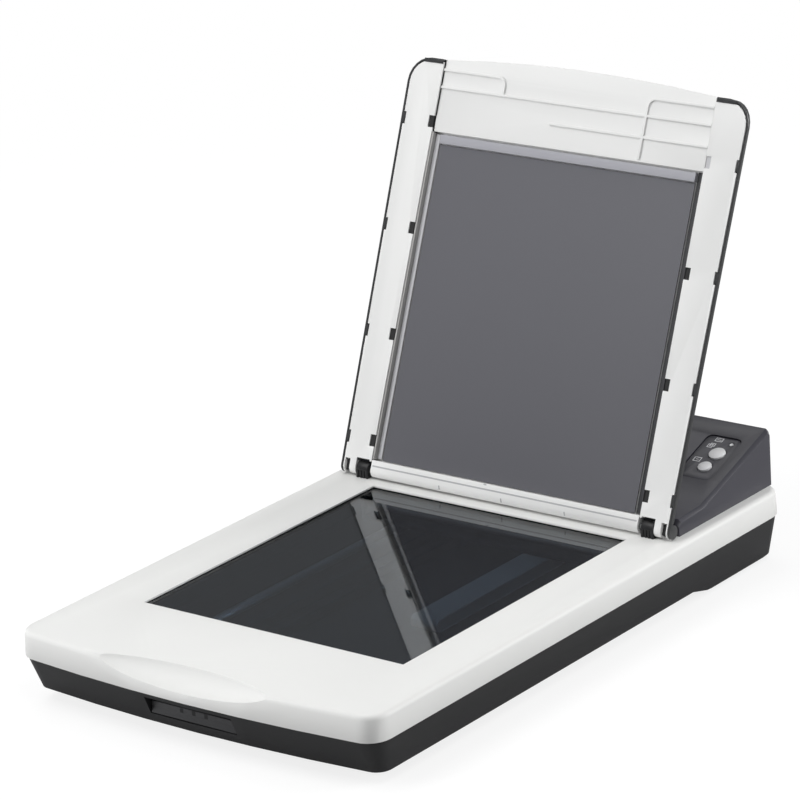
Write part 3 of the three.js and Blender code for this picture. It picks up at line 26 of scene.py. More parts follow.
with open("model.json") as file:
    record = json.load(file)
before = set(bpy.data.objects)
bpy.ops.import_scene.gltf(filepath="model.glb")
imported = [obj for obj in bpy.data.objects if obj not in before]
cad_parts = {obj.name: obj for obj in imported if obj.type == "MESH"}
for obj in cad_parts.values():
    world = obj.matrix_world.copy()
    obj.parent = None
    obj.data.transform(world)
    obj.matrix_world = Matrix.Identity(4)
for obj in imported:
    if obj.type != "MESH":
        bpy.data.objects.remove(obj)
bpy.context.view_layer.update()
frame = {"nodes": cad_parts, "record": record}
nodes = frame["nodes"]
print("frame loaded:", len(nodes), "nodes")

# Camera and lamps: a lamp shines from a direction, at a reach in metres
view = {"place": (864.3, -1080.8, 563.6), "turn": 38.61, "height": 19.19, "roll": -3.59,
        "lens": 198.15, "sensor": 36, "farClip": 20}
lampAim = (0, 0, 0.05)
lamps = {
    "key": {"from": (-0.30, -0.35, 0.88), "reach": 1.5, "size": (0.9, 0.7), "power": 7.9,
            "tint": (1, 1, 0.99)},
    "over": {"from": (0.50, -0.22, 0.84), "reach": 1.4, "size": (0.7, 0.6), "power": 4.5,
             "tint": (1, 1, 1)},
    "left": {"from": (-0.66, -0.68, 0.24), "reach": 1.4, "size": (0.7, 0.5), "power": 11,
             "tint": (0.99, 0.99, 1), "mirrored": False},
    "right": {"from": (0.74, 0.62, 0.26), "reach": 1.3, "size": (0.6, 0.5), "power": 11.5,
              "tint": (1, 1, 1)},
    "back": {"from": (-0.42, 0.36, 0.84), "reach": 1.4, "size": (1.0, 0.8), "power": 4,
             "tint": (1, 1, 1)},
}


def addCamera():
    bpy.ops.object.camera_add()
    camera = bpy.context.object
    camera.name = "photoCamera"
    camera.data.lens = view["lens"]
    camera.data.sensor_width = view["sensor"]
    camera.data.clip_end = view["farClip"]
    turn = Matrix.Rotation(math.radians(view["turn"]), 4, "Z")
    tilt = Matrix.Rotation(math.radians(90 - view["height"]), 4, "X")
    roll = Matrix.Rotation(math.radians(view["roll"]), 4, "Z")
    camera.matrix_world = Matrix.Translation(Vector(view["place"]) * mm) @ turn @ tilt @ roll
    bpy.context.scene.camera = camera


def addLamps():
    for name, lamp in lamps.items():
        away = Vector(lamp["from"]).normalized() * lamp["reach"]
        bpy.ops.object.light_add(type="AREA", location=away + Vector(lampAim))
        light = bpy.context.object
        light.name = name + "Lamp"
        light.data.shape = "RECTANGLE"
        light.data.size, light.data.size_y = lamp["size"]
        light.data.energy = lamp["power"]
        light.data.color = lamp["tint"]
        light.visible_glossy = lamp.get("mirrored", True)
        light.rotation_euler = (-away).to_track_quat("-Z", "Y").to_euler()


# Surroundings: the camera sees white and the floor's shadow, the part sees a dimmer room
sky = {"tint": (0.95, 0.97, 1), "strength": 0.25, "seen": 1}
floorLook = {"reach": 6, "drop": 0.15, "bounce": 0.45, "rough": 0.9, "shine": 0.1, "seen": 0.22,
             "glow": 0.8, "fadeFrom": 0.2, "fadeTo": 0.75}


def setWorld():
    world = bpy.data.worlds.new("studioSky")
    bpy.context.scene.world = world
    world.use_nodes = True
    tree = world.node_tree
    tree.nodes.clear()
    output = tree.nodes.new("ShaderNodeOutputWorld")
    mixSky = tree.nodes.new("ShaderNodeMixShader")
    room = tree.nodes.new("ShaderNodeBackground")
    room.inputs["Color"].default_value = (*sky["tint"], 1)
    room.inputs["Strength"].default_value = sky["strength"]
    backdrop = tree.nodes.new("ShaderNodeBackground")
    backdrop.inputs["Color"].default_value = (1, 1, 1, 1)
    backdrop.inputs["Strength"].default_value = sky["seen"]
    path = tree.nodes.new("ShaderNodeLightPath")
    tree.links.new(path.outputs["Is Camera Ray"], mixSky.inputs["Fac"])
    tree.links.new(room.outputs["Background"], mixSky.inputs[1])
    tree.links.new(backdrop.outputs["Background"], mixSky.inputs[2])
    tree.links.new(mixSky.outputs["Shader"], output.inputs["Surface"])


def addFloor():
    bpy.ops.mesh.primitive_plane_add(size=floorLook["reach"],
                                     location=(0, 0, -floorLook["drop"] * mm))
    floor = bpy.context.object
    floor.name = "studioFloor"
    paper = bpy.data.materials.new("floorPaper")
    paper.use_nodes = True
    tree = paper.node_tree
    bounce = tree.nodes["Principled BSDF"]
    bounce.inputs["Base Color"].default_value = (*[floorLook["bounce"]] * 3, 1)
    bounce.inputs["Roughness"].default_value = floorLook["rough"]
    bounce.inputs["Specular IOR Level"].default_value = floorLook["shine"]
    seen = tree.nodes.new("ShaderNodeBsdfDiffuse")
    seen.inputs["Color"].default_value = (*[floorLook["seen"]] * 3, 1)
    glow = tree.nodes.new("ShaderNodeEmission")
    glow.inputs["Strength"].default_value = floorLook["glow"]
    near = tree.nodes.new("ShaderNodeAddShader")  # pale paper that keeps the shadow
    tree.links.new(seen.outputs[0], near.inputs[0])
    tree.links.new(glow.outputs[0], near.inputs[1])
    white = tree.nodes.new("ShaderNodeEmission")
    where = tree.nodes.new("ShaderNodeTexCoord")
    distance = tree.nodes.new("ShaderNodeVectorMath")
    distance.operation = "LENGTH"
    fade = tree.nodes.new("ShaderNodeMapRange")
    fade.interpolation_type = "SMOOTHSTEP"
    fade.inputs["From Min"].default_value = floorLook["fadeFrom"]
    fade.inputs["From Max"].default_value = floorLook["fadeTo"]
    tree.links.new(where.outputs["Object"], distance.inputs[0])
    tree.links.new(distance.outputs["Value"], fade.inputs["Value"])
    shown = tree.nodes.new("ShaderNodeMixShader")
    tree.links.new(fade.outputs["Result"], shown.inputs["Fac"])
    tree.links.new(near.outputs[0], shown.inputs[1])
    tree.links.new(white.outputs[0], shown.inputs[2])
    path = tree.nodes.new("ShaderNodeLightPath")
    both = tree.nodes.new("ShaderNodeMixShader")
    tree.links.new(path.outputs["Is Camera Ray"], both.inputs["Fac"])
    tree.links.new(bounce.outputs[0], both.inputs[1])
    tree.links.new(shown.outputs[0], both.inputs[2])
    tree.links.new(both.outputs[0], tree.nodes["Material Output"].inputs["Surface"])
    floor.data.materials.append(paper)


addCamera()
addLamps()
setWorld()
addFloor()
scene = bpy.context.scene
scene.view_settings.view_transform = "Standard"
print("camera, lamps and floor are in")

# Materials: grain, drift, patch and relief depth in millimetres
grainShape = {"sizes": {"Grain Size": 0.4, "Drift Size": 30.0}, "detail": 3, "rough": 0.55,
              "driftDetail": 2, "pitShare": 0.6}
dustShape = {"inputs": {"Amount": 0.1, "Patch Size": 6.0}, "detail": 6, "rough": 0.7,
             "slopeFrom": 0.2, "slopeTo": 1}


def startGroup(name, inputs, outputs):
    group = bpy.data.node_groups.new(name, "ShaderNodeTree")
    for label, value in inputs.items():
        socket = group.interface.new_socket(name=label, in_out="INPUT",
                                            socket_type="NodeSocketFloat")
        socket.default_value = value
    for label in outputs:
        group.interface.new_socket(name=label, in_out="OUTPUT", socket_type="NodeSocketFloat")
    return group, group.nodes.new("NodeGroupInput"), group.nodes.new("NodeGroupOutput")


def scaleFromSize(group, start, label):
    divide = group.nodes.new("ShaderNodeMath")
    divide.operation = "DIVIDE"
    divide.inputs[0].default_value = perMetre
    group.links.new(start.outputs[label], divide.inputs[1])
    return divide.outputs[0]


def makeGrainGroup():
    group, start, end = startGroup("mouldGrain", grainShape["sizes"], ("Height", "Drift"))
    where = group.nodes.new("ShaderNodeTexCoord")
    scales = {label: scaleFromSize(group, start, label) for label in grainShape["sizes"]}
    grain = group.nodes.new("ShaderNodeTexNoise")
    grain.inputs["Detail"].default_value = grainShape["detail"]
    grain.inputs["Roughness"].default_value = grainShape["rough"]
    pits = group.nodes.new("ShaderNodeTexVoronoi")
    pits.feature = "SMOOTH_F1"
    drift = group.nodes.new("ShaderNodeTexNoise")
    drift.inputs["Detail"].default_value = grainShape["driftDetail"]
    for texture, label in ((grain, "Grain Size"), (pits, "Grain Size"), (drift, "Drift Size")):
        group.links.new(where.outputs["Object"], texture.inputs["Vector"])
        group.links.new(scales[label], texture.inputs["Scale"])
    blendGrain = group.nodes.new("ShaderNodeMath")
    blendGrain.operation = "MULTIPLY_ADD"
    blendGrain.inputs[1].default_value = grainShape["pitShare"]
    group.links.new(pits.outputs["Distance"], blendGrain.inputs[0])
    group.links.new(grain.outputs["Fac"], blendGrain.inputs[2])
    group.links.new(blendGrain.outputs[0], end.inputs["Height"])
    group.links.new(drift.outputs["Fac"], end.inputs["Drift"])
    return group


def makeDustGroup():
    group, start, end = startGroup("settledDust", dustShape["inputs"], ("Mask",))
    where = group.nodes.new("ShaderNodeTexCoord")
    split = group.nodes.new("ShaderNodeSeparateXYZ")
    group.links.new(where.outputs["Normal"], split.inputs[0])
    upward = group.nodes.new("ShaderNodeMapRange")
    upward.inputs["From Min"].default_value = dustShape["slopeFrom"]
    upward.inputs["From Max"].default_value = dustShape["slopeTo"]
    group.links.new(split.outputs["Z"], upward.inputs["Value"])
    patches = group.nodes.new("ShaderNodeTexNoise")
    patches.inputs["Detail"].default_value = dustShape["detail"]
    patches.inputs["Roughness"].default_value = dustShape["rough"]
    group.links.new(where.outputs["Object"], patches.inputs["Vector"])
    group.links.new(scaleFromSize(group, start, "Patch Size"), patches.inputs["Scale"])
    both = group.nodes.new("ShaderNodeMath")
    both.operation = "MULTIPLY"
    group.links.new(upward.outputs["Result"], both.inputs[0])
    group.links.new(patches.outputs["Fac"], both.inputs[1])
    amount = group.nodes.new("ShaderNodeMath")
    amount.operation = "MULTIPLY"
    group.links.new(both.outputs[0], amount.inputs[0])
    group.links.new(start.outputs["Amount"], amount.inputs[1])
    group.links.new(amount.outputs[0], end.inputs["Mask"])
    return group


grainGroup = makeGrainGroup()
dustGroup = makeDustGroup()
colourMix = {"factor": 0, "first": 6, "second": 7, "result": 2}  # sockets of a colour Mix node
dustColour = (0.55, 0.54, 0.52)
usualPlastic = {"ior": 1.46, "metal": 0, "drift": 30, "vary": 0.02, "dust": 0.03,
                "roughVary": 0.04, "depth": 0.03}


def mouldedPlastic(name, wanted):
    look = {**usualPlastic, **wanted}
    material = bpy.data.materials.new(name)
    material.use_nodes = True
    tree = material.node_tree
    shader = tree.nodes["Principled BSDF"]
    shader.inputs["IOR"].default_value = look["ior"]
    shader.inputs["Metallic"].default_value = look["metal"]
    grain = tree.nodes.new("ShaderNodeGroup")
    grain.node_tree = grainGroup
    grain.inputs["Grain Size"].default_value = look["grain"]
    grain.inputs["Drift Size"].default_value = look["drift"]
    darker = [c * (1 - look["vary"]) for c in look["colour"]]
    lighter = [min(1, c * (1 + look["vary"])) for c in look["colour"]]
    tint = tree.nodes.new("ShaderNodeMix")
    tint.data_type = "RGBA"
    tint.inputs[colourMix["first"]].default_value = (*darker, 1)
    tint.inputs[colourMix["second"]].default_value = (*lighter, 1)
    tree.links.new(grain.outputs["Drift"], tint.inputs[colourMix["factor"]])
    dust = tree.nodes.new("ShaderNodeGroup")
    dust.node_tree = dustGroup
    dust.inputs["Amount"].default_value = look["dust"]
    dusty = tree.nodes.new("ShaderNodeMix")
    dusty.data_type = "RGBA"
    dusty.inputs[colourMix["second"]].default_value = (*dustColour, 1)
    tree.links.new(dust.outputs["Mask"], dusty.inputs[colourMix["factor"]])
    tree.links.new(tint.outputs[colourMix["result"]], dusty.inputs[colourMix["first"]])
    tree.links.new(dusty.outputs[colourMix["result"]], shader.inputs["Base Color"])
    gloss = tree.nodes.new("ShaderNodeMapRange")
    gloss.inputs["To Min"].default_value = look["rough"] - look["roughVary"]
    gloss.inputs["To Max"].default_value = look["rough"] + look["roughVary"]
    tree.links.new(grain.outputs["Drift"], gloss.inputs["Value"])
    tree.links.new(gloss.outputs["Result"], shader.inputs["Roughness"])
    bump = tree.nodes.new("ShaderNodeBump")
    bump.inputs["Strength"].default_value = look["relief"]
    bump.inputs["Distance"].default_value = look["depth"] * mm
    tree.links.new(grain.outputs["Height"], bump.inputs["Height"])
    tree.links.new(bump.outputs["Normal"], shader.inputs["Normal"])
    return material


looks = {
    "coverWhite": {"colour": (0.74, 0.74, 0.725), "rough": 0.5, "grain": 0.35, "relief": 0.35},
    "lidWhite": {"colour": (0.755, 0.755, 0.745), "rough": 0.42, "grain": 0.3, "relief": 0.2},
    "caseCharcoal": {"colour": (0.019, 0.019, 0.020), "rough": 0.45, "ior": 1.42, "grain": 0.4,
                     "relief": 0.5},
    "housingSlate": {"colour": (0.046, 0.045, 0.057), "rough": 0.38, "grain": 0.4, "relief": 0.4},
    "shellCharcoal": {"colour": (0.035, 0.036, 0.037), "rough": 0.35, "grain": 0.3,
                      "relief": 0.2},
    "blackPlastic": {"colour": (0.012, 0.012, 0.013), "rough": 0.45, "grain": 0.3, "relief": 0.3},
    "buttonWhite": {"colour": (0.93, 0.93, 0.935), "rough": 0.32, "grain": 0.3, "relief": 0.1},
    "naturalPlastic": {"colour": (0.72, 0.71, 0.66), "rough": 0.45, "grain": 0.3, "relief": 0.1},
    "padGrey": {"colour": (0.117, 0.117, 0.130), "rough": 0.6, "grain": 0.25, "relief": 0.15,
                "drift": 80},
    "stripGrey": {"colour": (0.36, 0.36, 0.39), "rough": 0.5, "grain": 0.25, "relief": 0.1},
    "beltRubber": {"colour": (0.015, 0.015, 0.015), "rough": 0.8, "grain": 0.3, "relief": 0.6},
    "footRubber": {"colour": (0.02, 0.02, 0.021), "rough": 0.85, "grain": 0.35, "relief": 0.6},
    "steel": {"colour": (0.62, 0.63, 0.64), "rough": 0.3, "grain": 0.15, "relief": 0.1,
              "metal": 1},
    "brass": {"colour": (0.78, 0.60, 0.28), "rough": 0.32, "grain": 0.15, "relief": 0.1,
              "metal": 1},
    "circuitBoard": {"colour": (0.02, 0.13, 0.06), "rough": 0.35, "grain": 0.6, "relief": 0.2,
                     "vary": 0.2},
    "ribbonFilm": {"colour": (0.66, 0.66, 0.62), "rough": 0.3, "grain": 0.5, "relief": 0.1},
    "plateGrey": {"colour": (0.055, 0.055, 0.057), "rough": 0.5, "grain": 0.35, "relief": 0.3},
    # The two liner greys are painted shade on the cover recess's sides: the lighter grey on the
    # left, a dark painted shadow on the right
    "linerPaintedShade": {"colour": (0.37, 0.365, 0.355), "rough": 0.6, "grain": 0.3, "relief": 0.3},
    "linerPaintedShadow": {"colour": (0.05, 0.05, 0.053), "rough": 0.6, "grain": 0.3, "relief": 0.3},
    # Painted shadow inside the rail slots
    "slotShade": {"colour": (0.022, 0.022, 0.022), "rough": 0.6, "grain": 0.3, "relief": 0.2},
    "beadGrey": {"colour": (0.5, 0.5, 0.515), "rough": 0.45, "grain": 0.3, "relief": 0.1},
    "markGrey": {"colour": (0.42, 0.42, 0.43), "rough": 0.5, "grain": 0.2, "relief": 0.1},
    "canSleeve": {"colour": (0.03, 0.035, 0.06), "rough": 0.4, "grain": 0.3, "relief": 0.1},
    "printWhite": {"colour": (0.75, 0.75, 0.77), "rough": 0.5, "grain": 0.2, "relief": 0.1},
}
finish = {name: mouldedPlastic(name, look) for name, look in looks.items()}
glassLook = {"tint": (0.22, 0.27, 0.33), "ior": 1.5, "drift": 60, "haze": (0.01, 0.04)}


def bedGlassMaterial():
    material = bpy.data.materials.new("bedGlass")
    material.use_nodes = True
    tree = material.node_tree
    shader = tree.nodes["Principled BSDF"]
    shader.inputs["Base Color"].default_value = (*glassLook["tint"], 1)
    shader.inputs["Transmission Weight"].default_value = 1
    shader.inputs["IOR"].default_value = glassLook["ior"]
    grain = tree.nodes.new("ShaderNodeGroup")
    grain.node_tree = grainGroup
    grain.inputs["Drift Size"].default_value = glassLook["drift"]
    haze = tree.nodes.new("ShaderNodeMapRange")
    haze.inputs["To Min"].default_value = glassLook["haze"][0]
    haze.inputs["To Max"].default_value = glassLook["haze"][1]
    tree.links.new(grain.outputs["Drift"], haze.inputs["Value"])
    tree.links.new(haze.outputs["Result"], shader.inputs["Roughness"])
    return material


finish["bedGlass"] = bedGlassMaterial()

slotFinish = {
    "cover_white": "coverWhite", "lid_white": "lidWhite", "case_charcoal": "caseCharcoal",
    "housing_slate": "housingSlate", "shell_charcoal": "shellCharcoal",
    "black_plastic": "blackPlastic", "button_white": "buttonWhite",
    "natural_plastic": "naturalPlastic", "pad_grey": "padGrey", "strip_grey": "stripGrey",
    "bed_glass": "bedGlass", "steel": "steel", "brass": "brass", "belt_rubber": "beltRubber",
    "foot_rubber": "footRubber", "circuit_board": "circuitBoard", "ribbon_film": "ribbonFilm",
}
for subpart in frame["record"]["subparts"]:
    part = nodes[subpart["node"]]
    part.data.materials.clear()
    part.data.materials.append(finish[slotFinish[subpart["material_slot"]]])
nodes["front_plate"].data.materials[0] = finish["plateGrey"]
print("materials are on")

# Softened edges on the frame's own solids: one width per solid, flat and angle in degrees
edgeRules = {"weld": 0.002, "flat": 0.6, "segments": 2, "angle": 35}
edgeWidths = {
    "top_cover": 0.35, "base_tray": 0.35, "rear_housing": 0.5, "lid_shell": 0.3,
    "lid_rail_left": 0.2, "lid_rail_right": 0.2, "lid_inner_panel": 0.2, "front_plate": 0.15,
    "control_panel": 0.2, "upper_button": 0.15, "lower_button": 0.15, "hinge_block_left": 0.12,
    "hinge_block_right": 0.12, "backing_pad": 0.1, "grey_strip": 0.1, "front_foot_left": 0.4,
    "front_foot_right": 0.4, "rear_foot_left": 0.2, "rear_foot_right": 0.2,
    "scan_carriage": 0.2, "image_sensor": 0.2,
}


def onlyThis(piece):
    bpy.ops.object.select_all(action="DESELECT")
    piece.select_set(True)
    bpy.context.view_layer.objects.active = piece


def softenEdges(name, width):
    part = nodes[name]
    weld = part.modifiers.new("weld", "WELD")
    weld.merge_threshold = edgeRules["weld"] * mm
    flat = part.modifiers.new("flatFaces", "DECIMATE")
    flat.decimate_type = "DISSOLVE"
    flat.angle_limit = math.radians(edgeRules["flat"])
    bevel = part.modifiers.new("softEdge", "BEVEL")
    bevel.width = width * mm
    bevel.segments = edgeRules["segments"]
    bevel.limit_method = "ANGLE"
    bevel.angle_limit = math.radians(edgeRules["angle"])
    bevel.use_clamp_overlap = True
    bevel.harden_normals = True
    onlyThis(part)
    bpy.ops.object.shade_smooth_by_angle(angle=math.radians(edgeRules["angle"]))


for name, width in edgeWidths.items():
    softenEdges(name, width)
print("edges are softened")

# Places and tools for the pieces that the frame leaves to the scene. The cover's pieces are made
# as if it were closed and then turned open; the panel's marks are made level and then tilted.
lidHinge = {"y": 56.2, "z": 28.6, "open": 112.74, "face": -2.5}
rampFoot = {"y": 87.3, "z": 36.1, "rise": 8.96, "run": 26, "face": -0.35}
lidPlace = Matrix.Translation((0, lidHinge["y"] * mm, lidHinge["z"] * mm)) @ Matrix.Rotation(
    -math.radians(lidHinge["open"]), 4, "X")
rampPlace = Matrix.Translation((0, rampFoot["y"] * mm, rampFoot["z"] * mm)) @ Matrix.Rotation(
    math.atan2(rampFoot["rise"], rampFoot["run"]), 4, "X")
facing = {"near": 0.9, "slack": 0.01}  # how straight and how level a face must be to be picked


def namePiece(name):
    piece = bpy.context.object
    piece.name = name
    piece.data.name = name
    return piece


def startBlock(name, low, high):
    bpy.ops.object.select_all(action="DESELECT")
    middle = [(a + b) / 2 * mm for a, b in zip(low, high)]
    bpy.ops.mesh.primitive_cube_add(size=1, location=middle)
    piece = namePiece(name)
    piece.scale = [(b - a) * mm for a, b in zip(low, high)]
    bpy.ops.object.transform_apply(location=True, rotation=True, scale=True)
    return piece


def startCan(name, x, y, low, high, radius, sides=24):
    bpy.ops.object.select_all(action="DESELECT")
    bpy.ops.mesh.primitive_cylinder_add(
        vertices=sides, radius=radius * mm, depth=(high - low) * mm,
        location=(x * mm, y * mm, (low + high) / 2 * mm))
    piece = namePiece(name)
    bpy.ops.object.transform_apply(location=True, rotation=True, scale=True)
    return piece


def pickFaces(piece, wanted):
    bpy.ops.object.mode_set(mode="EDIT")
    bpy.ops.mesh.select_mode(type="FACE")
    bpy.ops.mesh.select_all(action="DESELECT")
    bpy.ops.object.mode_set(mode="OBJECT")
    for face in piece.data.polygons:
        face.select = wanted(face)
    bpy.ops.object.mode_set(mode="EDIT")


def sinkTop(piece, rim, depth):
    top = max(corner.co.z for corner in piece.data.vertices) - facing["slack"] * mm
    pickFaces(piece, lambda face: face.normal.z > facing["near"] and face.center.z > top)
    bpy.ops.mesh.inset(thickness=rim * mm)
    bpy.ops.mesh.extrude_region_move(TRANSFORM_OT_translate={"value": (0, 0, -depth * mm)})
    bpy.ops.object.mode_set(mode="OBJECT")


def roundEdges(piece, width, segments=2, angle=35):
    onlyThis(piece)
    bevel = piece.modifiers.new("softEdge", "BEVEL")
    bevel.width = width * mm
    bevel.segments = segments
    bevel.limit_method = "ANGLE"
    bevel.angle_limit = math.radians(angle)
    bpy.ops.object.modifier_apply(modifier="softEdge")
    bpy.ops.object.shade_smooth_by_angle(angle=math.radians(angle))


def joinAs(name, pieces):
    bpy.ops.object.select_all(action="DESELECT")
    for piece in pieces:
        piece.select_set(True)
    bpy.context.view_layer.objects.active = pieces[0]
    bpy.ops.object.join()
    return namePiece(name)


def settle(piece, look, body, place=None):
    onlyThis(piece)
    if place:
        piece.matrix_world = place
        bpy.ops.object.transform_apply(location=True, rotation=True, scale=True)
    piece.data.materials.clear()
    piece.data.materials.append(finish[look])
    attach(piece, body)
    return piece


def sideSpan(side, near, far):
    return min(side * near, side * far), max(side * near, side * far)


def sideName(name, side):
    return name + (".right" if side > 0 else ".left")


# Cover recess: painted shade down both sides, in the rail slots and in the hinge pillars' slots,
# tip hooks, and lines on the hinge bar
shadeLiner = {"outer": 57.4, "wall": 0.7, "pad": 54.3, "from": 3.8, "to": 121.2, "front": 0.35,
         "floor": 2.45, "back": 2.9, "round": 0.12}


# Painted shade: an L-shaped strip on each side of the recess, grey on the left and a dark painted
# shadow on the right, so the rail walls and the gap beside the pad show dark
def makeShadeLiner(side):
    face = lidHinge["face"]
    low, high = sideSpan(side, shadeLiner["outer"], shadeLiner["pad"])
    piece = startBlock(sideName("recessShadeLiner", side),
                       (low, -shadeLiner["to"], face + shadeLiner["floor"]),
                       (high, -shadeLiner["from"], face + shadeLiner["back"]))
    wallX = (shadeLiner["outer"] - shadeLiner["wall"]) * mm
    onlyThis(piece)
    bpy.ops.object.mode_set(mode="EDIT")
    bpy.ops.mesh.select_all(action="SELECT")
    bpy.ops.mesh.bisect(plane_co=(side * wallX, 0, 0), plane_no=(1, 0, 0))
    bpy.ops.object.mode_set(mode="OBJECT")
    pickFaces(piece, lambda part: part.normal.z < -facing["near"] and abs(part.center.x) > wallX)
    wallRise = (shadeLiner["front"] - shadeLiner["floor"]) * mm
    bpy.ops.mesh.extrude_region_move(TRANSFORM_OT_translate={"value": (0, 0, wallRise)})
    bpy.ops.object.mode_set(mode="OBJECT")
    roundEdges(piece, shadeLiner["round"])
    return settle(piece, "linerPaintedShadow" if side > 0 else "linerPaintedShade", "lid",
                  lidPlace)


slotFill = {"places": (10.3, 48.5, 86.7, 124.9), "half": 2.12, "inner": 57.75, "outer": 59.72,
            "front": -2.1, "back": -0.98, "round": 0.05}


def makeSlotFills(side, places, name, look):
    low, high = sideSpan(side, slotFill["inner"], slotFill["outer"])
    fills = []
    for number, along in enumerate(places):
        fills.append(startBlock(name + str(number),
                                (low, -along - slotFill["half"], slotFill["front"]),
                                (high, -along + slotFill["half"], slotFill["back"])))
    fills = joinAs(name, fills)
    roundEdges(fills, slotFill["round"], 1)
    return settle(fills, look, "lid", lidPlace)


tipHook = {"inner": 57.7, "outer": 66, "from": 145.5, "to": 146.9, "high": 0.24, "sunk": 0.02,
           "round": 0.1}


def makeTipHook(side):
    face = lidHinge["face"]
    low, high = sideSpan(side, tipHook["inner"], tipHook["outer"])
    piece = startBlock(sideName("tipHook", side), (low, -tipHook["to"], face - tipHook["high"]),
                       (high, -tipHook["from"], face - tipHook["sunk"]))
    roundEdges(piece, tipHook["round"])
    return settle(piece, "shellCharcoal", "lid", lidPlace)


pillarSlotShade = {"inner": 66.8, "outer": 68.7, "low": (-2.3, -1.4), "high": (1.8, 2.2),
              "round": 0.4, "steps": 3}


# Painted shade: a black block inside each hinge pillar's slot, so the slot shows dark
def makePillarSlotShade(side):
    low, high = sideSpan(side, pillarSlotShade["inner"], pillarSlotShade["outer"])
    piece = startBlock(sideName("pillarSlotShade", side), (low, *pillarSlotShade["low"]),
                       (high, *pillarSlotShade["high"]))
    roundEdges(piece, pillarSlotShade["round"], pillarSlotShade["steps"])
    return settle(piece, "blackPlastic", "lid", lidPlace)


bead = {"outer": 56.5, "inner": 54.6, "front": 1.9, "back": 2.4, "short": 0.4, "round": 0.24,
        "steps": 4}


def makeBead():
    face = lidHinge["face"]
    piece = startBlock("recessBead",
                       (-bead["outer"], -shadeLiner["to"] + bead["short"], face + bead["front"]),
                       (-bead["inner"], -shadeLiner["from"] - bead["short"], face + bead["back"]))
    roundEdges(piece, bead["round"], bead["steps"])
    return settle(piece, "beadGrey", "lid", lidPlace)


barLine = {"half": 56.6, "at": 1.45, "width": 0.55, "proud": 0.02, "sunk": 0.01, "round": 0.008,
           "notchAt": -7.5, "notchHalf": 0.6, "notch": (2.85, 3.35)}


def makeBarLines():
    low = lidHinge["face"] - barLine["proud"]
    high = lidHinge["face"] + barLine["sunk"]
    strip = startBlock("barLines",
                       (-barLine["half"], -barLine["at"] - barLine["width"] / 2, low),
                       (barLine["half"], -barLine["at"] + barLine["width"] / 2, high))
    near, far = barLine["notch"]
    notch = startBlock("barNotch", (barLine["notchAt"] - barLine["notchHalf"], -far, low),
                       (barLine["notchAt"] + barLine["notchHalf"], -near, high))
    lines = joinAs("barLines", [strip, notch])
    roundEdges(lines, barLine["round"], 1)
    return settle(lines, "markGrey", "lid", lidPlace)


barTick = {"places": (-26.8, 0, 26.9), "width": 0.5, "length": 1.5, "turn": 30, "radius": 2.5,
           "proud": 0.03, "sunk": 0.12, "round": 0.03}


def makeBarTicks():
    halfWidth = barTick["width"] / 2
    halfLength = barTick["length"] / 2
    low = -barTick["radius"] - barTick["proud"]
    high = -barTick["radius"] + barTick["sunk"]
    ticks = []
    for number, x in enumerate(barTick["places"]):
        ticks.append(startBlock("barTick" + str(number), (x - halfWidth, -halfLength, low),
                                (x + halfWidth, halfLength, high)))
    ticks = joinAs("barTicks", ticks)
    roundEdges(ticks, barTick["round"])
    turned = lidPlace @ Matrix.Rotation(math.radians(barTick["turn"]), 4, "X")
    return settle(ticks, "markGrey", "lid", turned)


# Painted shadow: dark blocks fill the rail slots; the top slot on the right is filled in the
# bead's grey instead
makeSlotFills(-1, slotFill["places"], "slotShadowFill.left", "slotShade")
makeSlotFills(1, slotFill["places"][:-1], "slotShadowFill.right", "slotShade")
makeSlotFills(1, slotFill["places"][-1:], "topSlotPlug", "beadGrey")
for side in (-1, 1):
    makeShadeLiner(side)
    makeTipHook(side)
    makePillarSlotShade(side)
makeBead()
makeBarLines()
makeBarTicks()
print("cover recess is lined")

# Front recess: painted shade as a dark band over the plate's top, and painted shadows between its
# ribs
plateShade = {"half": 17.6, "front": -113.75, "back": -112.8, "low": 10.7, "high": 12.45,
         "round": 0.12}
ribShadows = {"places": (-5.1, 0, 5.1), "width": 1.4, "proud": 0.04, "sunk": 0.3, "low": 10.75,
           "high": 12.35, "round": 0.015}


# Painted shade: a dark band across the plate's upper part, where the opening above the plate lies
# in shade
def makePlateShade():
    piece = startBlock("plateShadeBand", (-plateShade["half"], plateShade["front"], plateShade["low"]),
                       (plateShade["half"], plateShade["back"], plateShade["high"]))
    roundEdges(piece, plateShade["round"])
    return settle(piece, "plateGrey", "case")


# Painted shadows: black marks on the band, between the ribs behind it
def makeRibShadows():
    half = ribShadows["width"] / 2
    shadowMarks = []
    for number, x in enumerate(ribShadows["places"]):
        shadowMarks.append(startBlock("ribShadow" + str(number),
                               (x - half, plateShade["front"] - ribShadows["proud"], ribShadows["low"]),
                               (x + half, plateShade["front"] + ribShadows["sunk"], ribShadows["high"])))
    shadowMarks = joinAs("ribShadows", shadowMarks)
    roundEdges(shadowMarks, ribShadows["round"], 1)
    return settle(shadowMarks, "blackPlastic", "case")


makePlateShade()
makeRibShadows()
print("front recess is dressed")

# Marks beside the buttons, plain pictograms: tall boxes are outlines, flat ones are bars
marks = {"thick": 0.05, "line": 0.32, "step": 0.01, "barUnder": 1, "round": 0.015, "boxes": {
    "pageMark": [(53.9, 57.0, 20.4, 22.4), (54.6, 56.3, 21.2, 21.5)],
    "copyMark": [(52.8, 54.9, 16.7, 18.6), (53.5, 55.6, 17.4, 19.2)],
    "sendMark": [(52.0, 54.9, 8.6, 10.9), (52.9, 54.0, 9.6, 9.9)],
}}


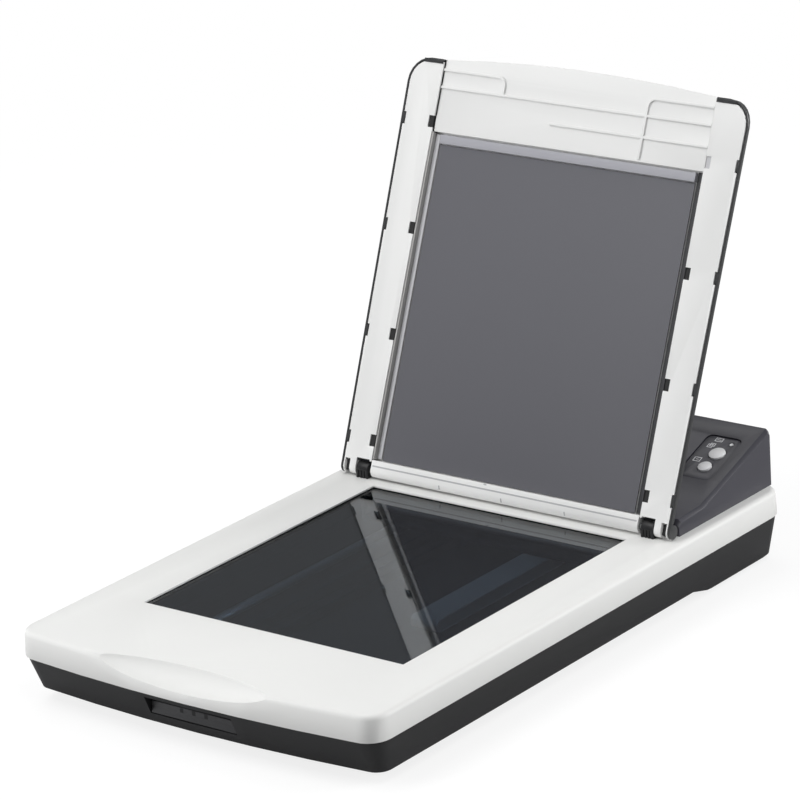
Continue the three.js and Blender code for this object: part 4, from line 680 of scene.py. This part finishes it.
def makeMark(name, boxes):
    parts = []
    for number, (x0, x1, y0, y1) in enumerate(boxes):
        bpy.ops.object.select_all(action="DESELECT")
        high = rampFoot["face"] + marks["step"] * number
        middle = ((x0 + x1) / 2 * mm, (y0 + y1) / 2 * mm, high * mm)
        bpy.ops.mesh.primitive_plane_add(size=1, location=middle)
        part = namePiece(name + str(number))
        part.scale = ((x1 - x0) * mm, (y1 - y0) * mm, 1)
        bpy.ops.object.transform_apply(location=True, rotation=True, scale=True)
        if y1 - y0 > marks["barUnder"]:
            bpy.ops.object.mode_set(mode="EDIT")
            bpy.ops.mesh.select_all(action="SELECT")
            bpy.ops.mesh.inset(thickness=marks["line"] * mm)
            bpy.ops.mesh.delete(type="FACE")
            bpy.ops.object.mode_set(mode="OBJECT")
        thick = part.modifiers.new("thick", "SOLIDIFY")
        thick.thickness = marks["thick"] * mm
        thick.offset = 1
        bpy.ops.object.modifier_apply(modifier="thick")
        parts.append(part)
    mark = joinAs(name, parts)
    roundEdges(mark, marks["round"], 1)
    return settle(mark, "printWhite", "case", rampPlace)


for name, boxes in marks["boxes"].items():
    makeMark(name, boxes)
print("panel marks are on")

# Parts on the main board
boardTop = 5.9
boardCans = [{"x": 54, "y": 96, "radius": 4, "high": 9},
             {"x": 54, "y": 86, "radius": 3.1, "high": 7},
             {"x": 45, "y": 80, "radius": 2.5, "high": 6}]
canShape = {"rimShare": 0.22, "sink": 0.25, "round": 0.3, "angle": 50}
boardChips = [{"x": 20, "y": 96, "size": (6, 4)}, {"x": 44, "y": 92, "size": (4, 5)},
              {"x": 12, "y": 104, "size": (5, 3)}, {"x": 36, "y": 104, "size": (3.2, 1.6)},
              {"x": 36, "y": 100, "size": (3.2, 1.6)}, {"x": 12, "y": 96, "size": (2, 1.2)},
              {"x": 12, "y": 92, "size": (2, 1.2)}]
chipShape = {"high": 1.1, "rim": 0.25, "sink": 0.06, "round": 0.05}


def makeCan(number, can):
    piece = startCan("capacitor." + str(number), can["x"], can["y"], boardTop,
                     boardTop + can["high"], can["radius"])
    sinkTop(piece, can["radius"] * canShape["rimShare"], canShape["sink"])
    roundEdges(piece, canShape["round"], 2, canShape["angle"])
    return settle(piece, "canSleeve", "case")


def makeBoardChip(number, chip):
    halfX, halfY = chip["size"][0] / 2, chip["size"][1] / 2
    piece = startBlock("smallChip." + str(number),
                       (chip["x"] - halfX, chip["y"] - halfY, boardTop),
                       (chip["x"] + halfX, chip["y"] + halfY, boardTop + chipShape["high"]))
    sinkTop(piece, chipShape["rim"], chipShape["sink"])
    roundEdges(piece, chipShape["round"], 1)
    return settle(piece, "blackPlastic", "case")


for number, can in enumerate(boardCans):
    makeCan(number, can)
for number, chip in enumerate(boardChips):
    makeBoardChip(number, chip)
print("board is populated")
